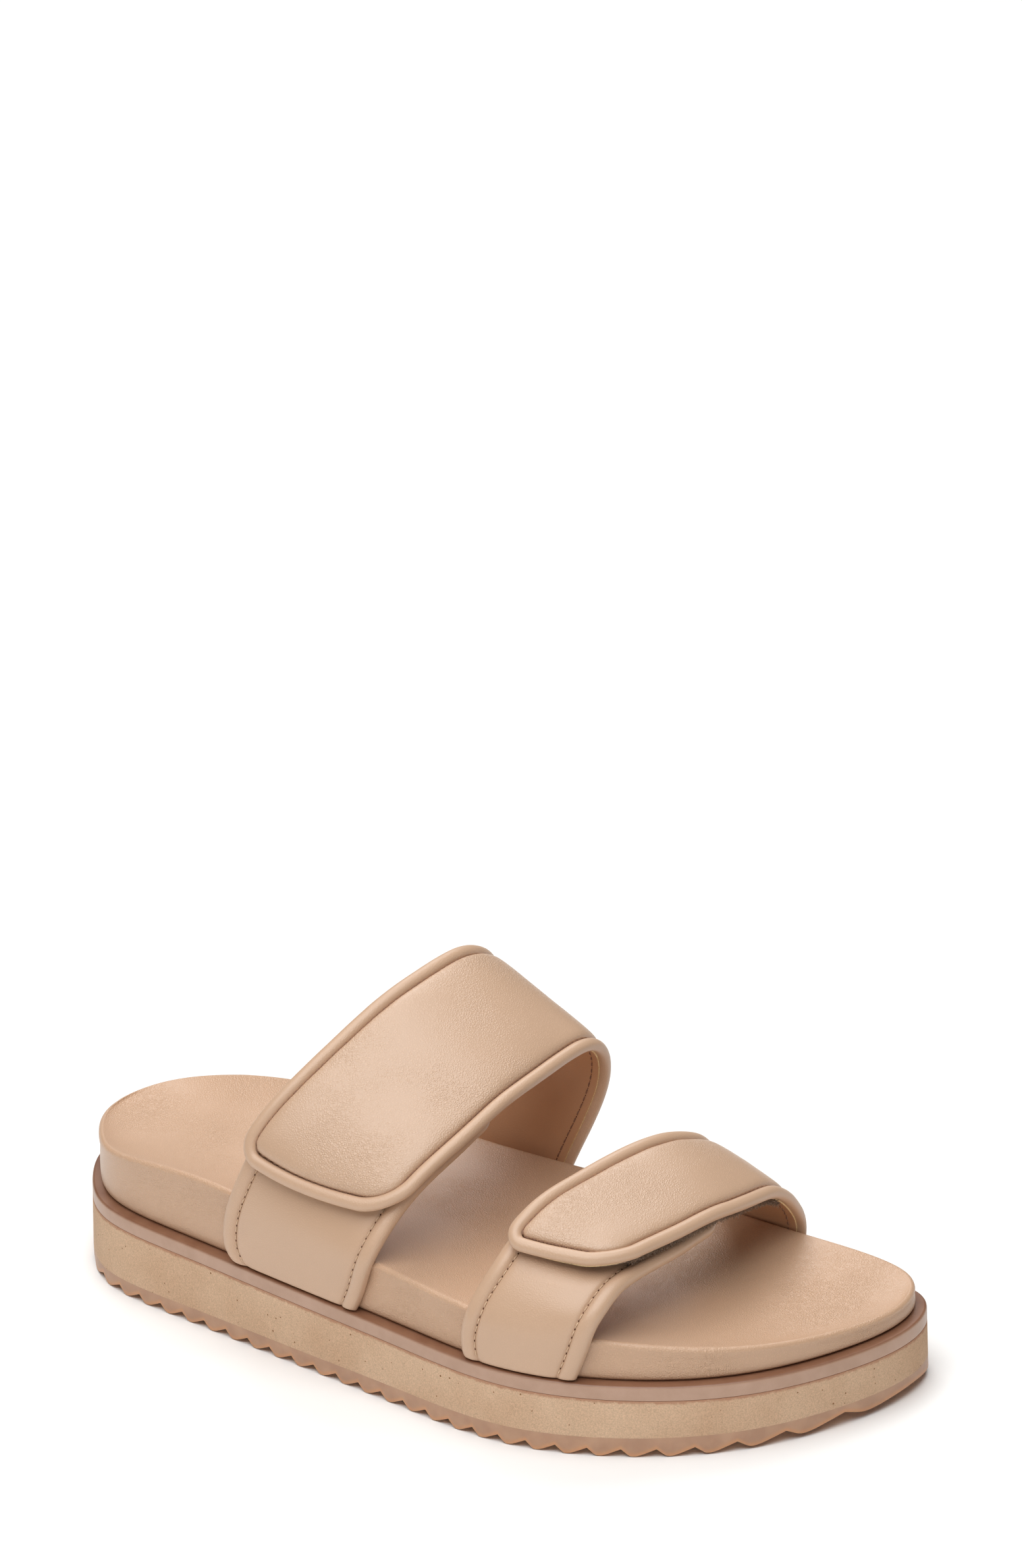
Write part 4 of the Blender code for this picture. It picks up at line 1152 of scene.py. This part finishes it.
for strap in STRAPS:
    radii = (strap.radii[0] - SEAM, strap.radii[1] - SEAM - TIGHTER)
    along, edge, depth = flap_grid(strap, SEAM, radii, PAD_STEPS, 18, 74)
    share, under = flap_spot(strap, along, edge)
    under = under + LINING
    fill = flap_fill(strap, along)
    crown = np.interp(depth * 1000, CROWN_AT, CROWN)
    spots = strap.flat(along, share)
    fade = np.exp(-depth / PUCKER_FADE) * np.clip(depth / 0.0003, 0, 1)
    crown = crown + PUCKER * uneven(spots, PUCKER_SCALE) * fade
    crown = crown + WAVE * uneven(spots, WAVE_SCALE) * np.clip(depth / 0.006, 0, 1)
    upper = strap.place(along, share, under + crown / 1000 * fill)
    lower = strap.place(along, share, under + 0.00005 + 0.00054 * np.exp(-depth / 0.0001) * fill)
    pad = lay_grid(strap.name + "_flap_pad", ring_of(upper, lower))
    pad.data.materials.append(hide)
    close_up(pad)
    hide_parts(strap.name + "_strap_flap")
    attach(pad, "root")

# Flap beads
# A soft round bead runs along both edges of the flap and round its free end: a cord covered with
# the strap material, sewn to the pad in a tight groove.
BEAD_WIDE, BEAD_TALL, BEAD_SIDES = 0.0042, 0.0037, 24
GROOVE, GROOVE_HIGH, GROOVE_PITCH = SEAM + 0.00012, 0.0022, 0.0023


def round_the_flap(strap, inset, radii):
    """Lengths and distances from the rear edge of a line that runs round the flap inside its outline."""
    start_width = float(flap_width(strap, np.array(strap.free[0]))) - 2 * inset
    route = [(at, 0.0) for at in np.linspace(strap.length, strap.free[0] + inset + radii[0], 120)]
    rear_turn = radii[0] * (1 - np.cos(np.linspace(0, math.pi / 2, 15)[1:]))
    front_turn = start_width - radii[1] * (1 - np.cos(np.linspace(math.pi / 2, 0, 20)[:-1]))
    straight = np.linspace(radii[0], start_width - radii[1], 24)[1:-1]
    for edge in (*rear_turn, *straight, *front_turn):
        radius = radii[0] if edge < start_width / 2 else radii[1]
        cut = corner_cut(min(edge, start_width - edge), radius)
        route.append((float(free_line(strap, edge / start_width) + inset + cut), edge))
    route += [(at, start_width) for at in np.linspace(strap.free[1] + inset + radii[1], strap.length, 120)]
    along = np.array([r[0] for r in route])
    edge = np.array([r[1] for r in route])
    wide = flap_width(strap, along) - 2 * inset
    return along, np.where(edge > start_width / 2, wide - (start_width - edge), edge) + inset


for strap in STRAPS:
    radii = (strap.radii[0] - GROOVE, strap.radii[1] - GROOVE - TIGHTER)
    along, edge = round_the_flap(strap, GROOVE, radii)
    share, under = flap_spot(strap, along, edge)
    low = under + LINING + GROOVE_HIGH * flap_fill(strap, along)
    route = (strap.place(along, share, low), strap.normal(along, share))
    # The groove's stitches use the brown thread: stitches and painted shade of the groove in one
    sew(strap.name + "_flap_stitching", [route], GROOVE_PITCH, brown_thread_and_shade, holes=False)
    half = BEAD_WIDE / 2
    along, edge = round_the_flap(strap, half, (strap.radii[0] - half, strap.radii[1] - half))
    share, under = flap_spot(strap, along, edge)
    tall = BEAD_TALL / 2 * flap_fill(strap, along)
    middle = strap.place(along, share, under + 0.0004 + tall)
    out = strap.normal(along, share)
    run = np.gradient(middle, axis=0)
    run[0] = run[-1] = (0.0, 0.0, 1.0)
    across = np.cross(run, out)
    across /= np.linalg.norm(across, axis=1)[:, None]
    angle = np.linspace(0, 2 * math.pi, BEAD_SIDES + 1)
    swell = 1 + 0.022 * uneven(middle, 160.0)
    wide_by = (half * swell)[:, None] * np.cos(angle)[None]
    tall_by = (tall * swell)[:, None] * np.sin(angle)[None]
    points = middle[:, None] + wide_by[..., None] * across[:, None] + tall_by[..., None] * out[:, None]
    bead = lay_grid(strap.name + "_flap_bead", points)
    bead.data.materials.append(stretched)
    close_up(bead)
    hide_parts(strap.name + "_flap_piping")
    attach(bead, "root")
bpy.data.objects.remove(stitch_model, do_unlink=True)
bpy.data.objects.remove(hole_model, do_unlink=True)
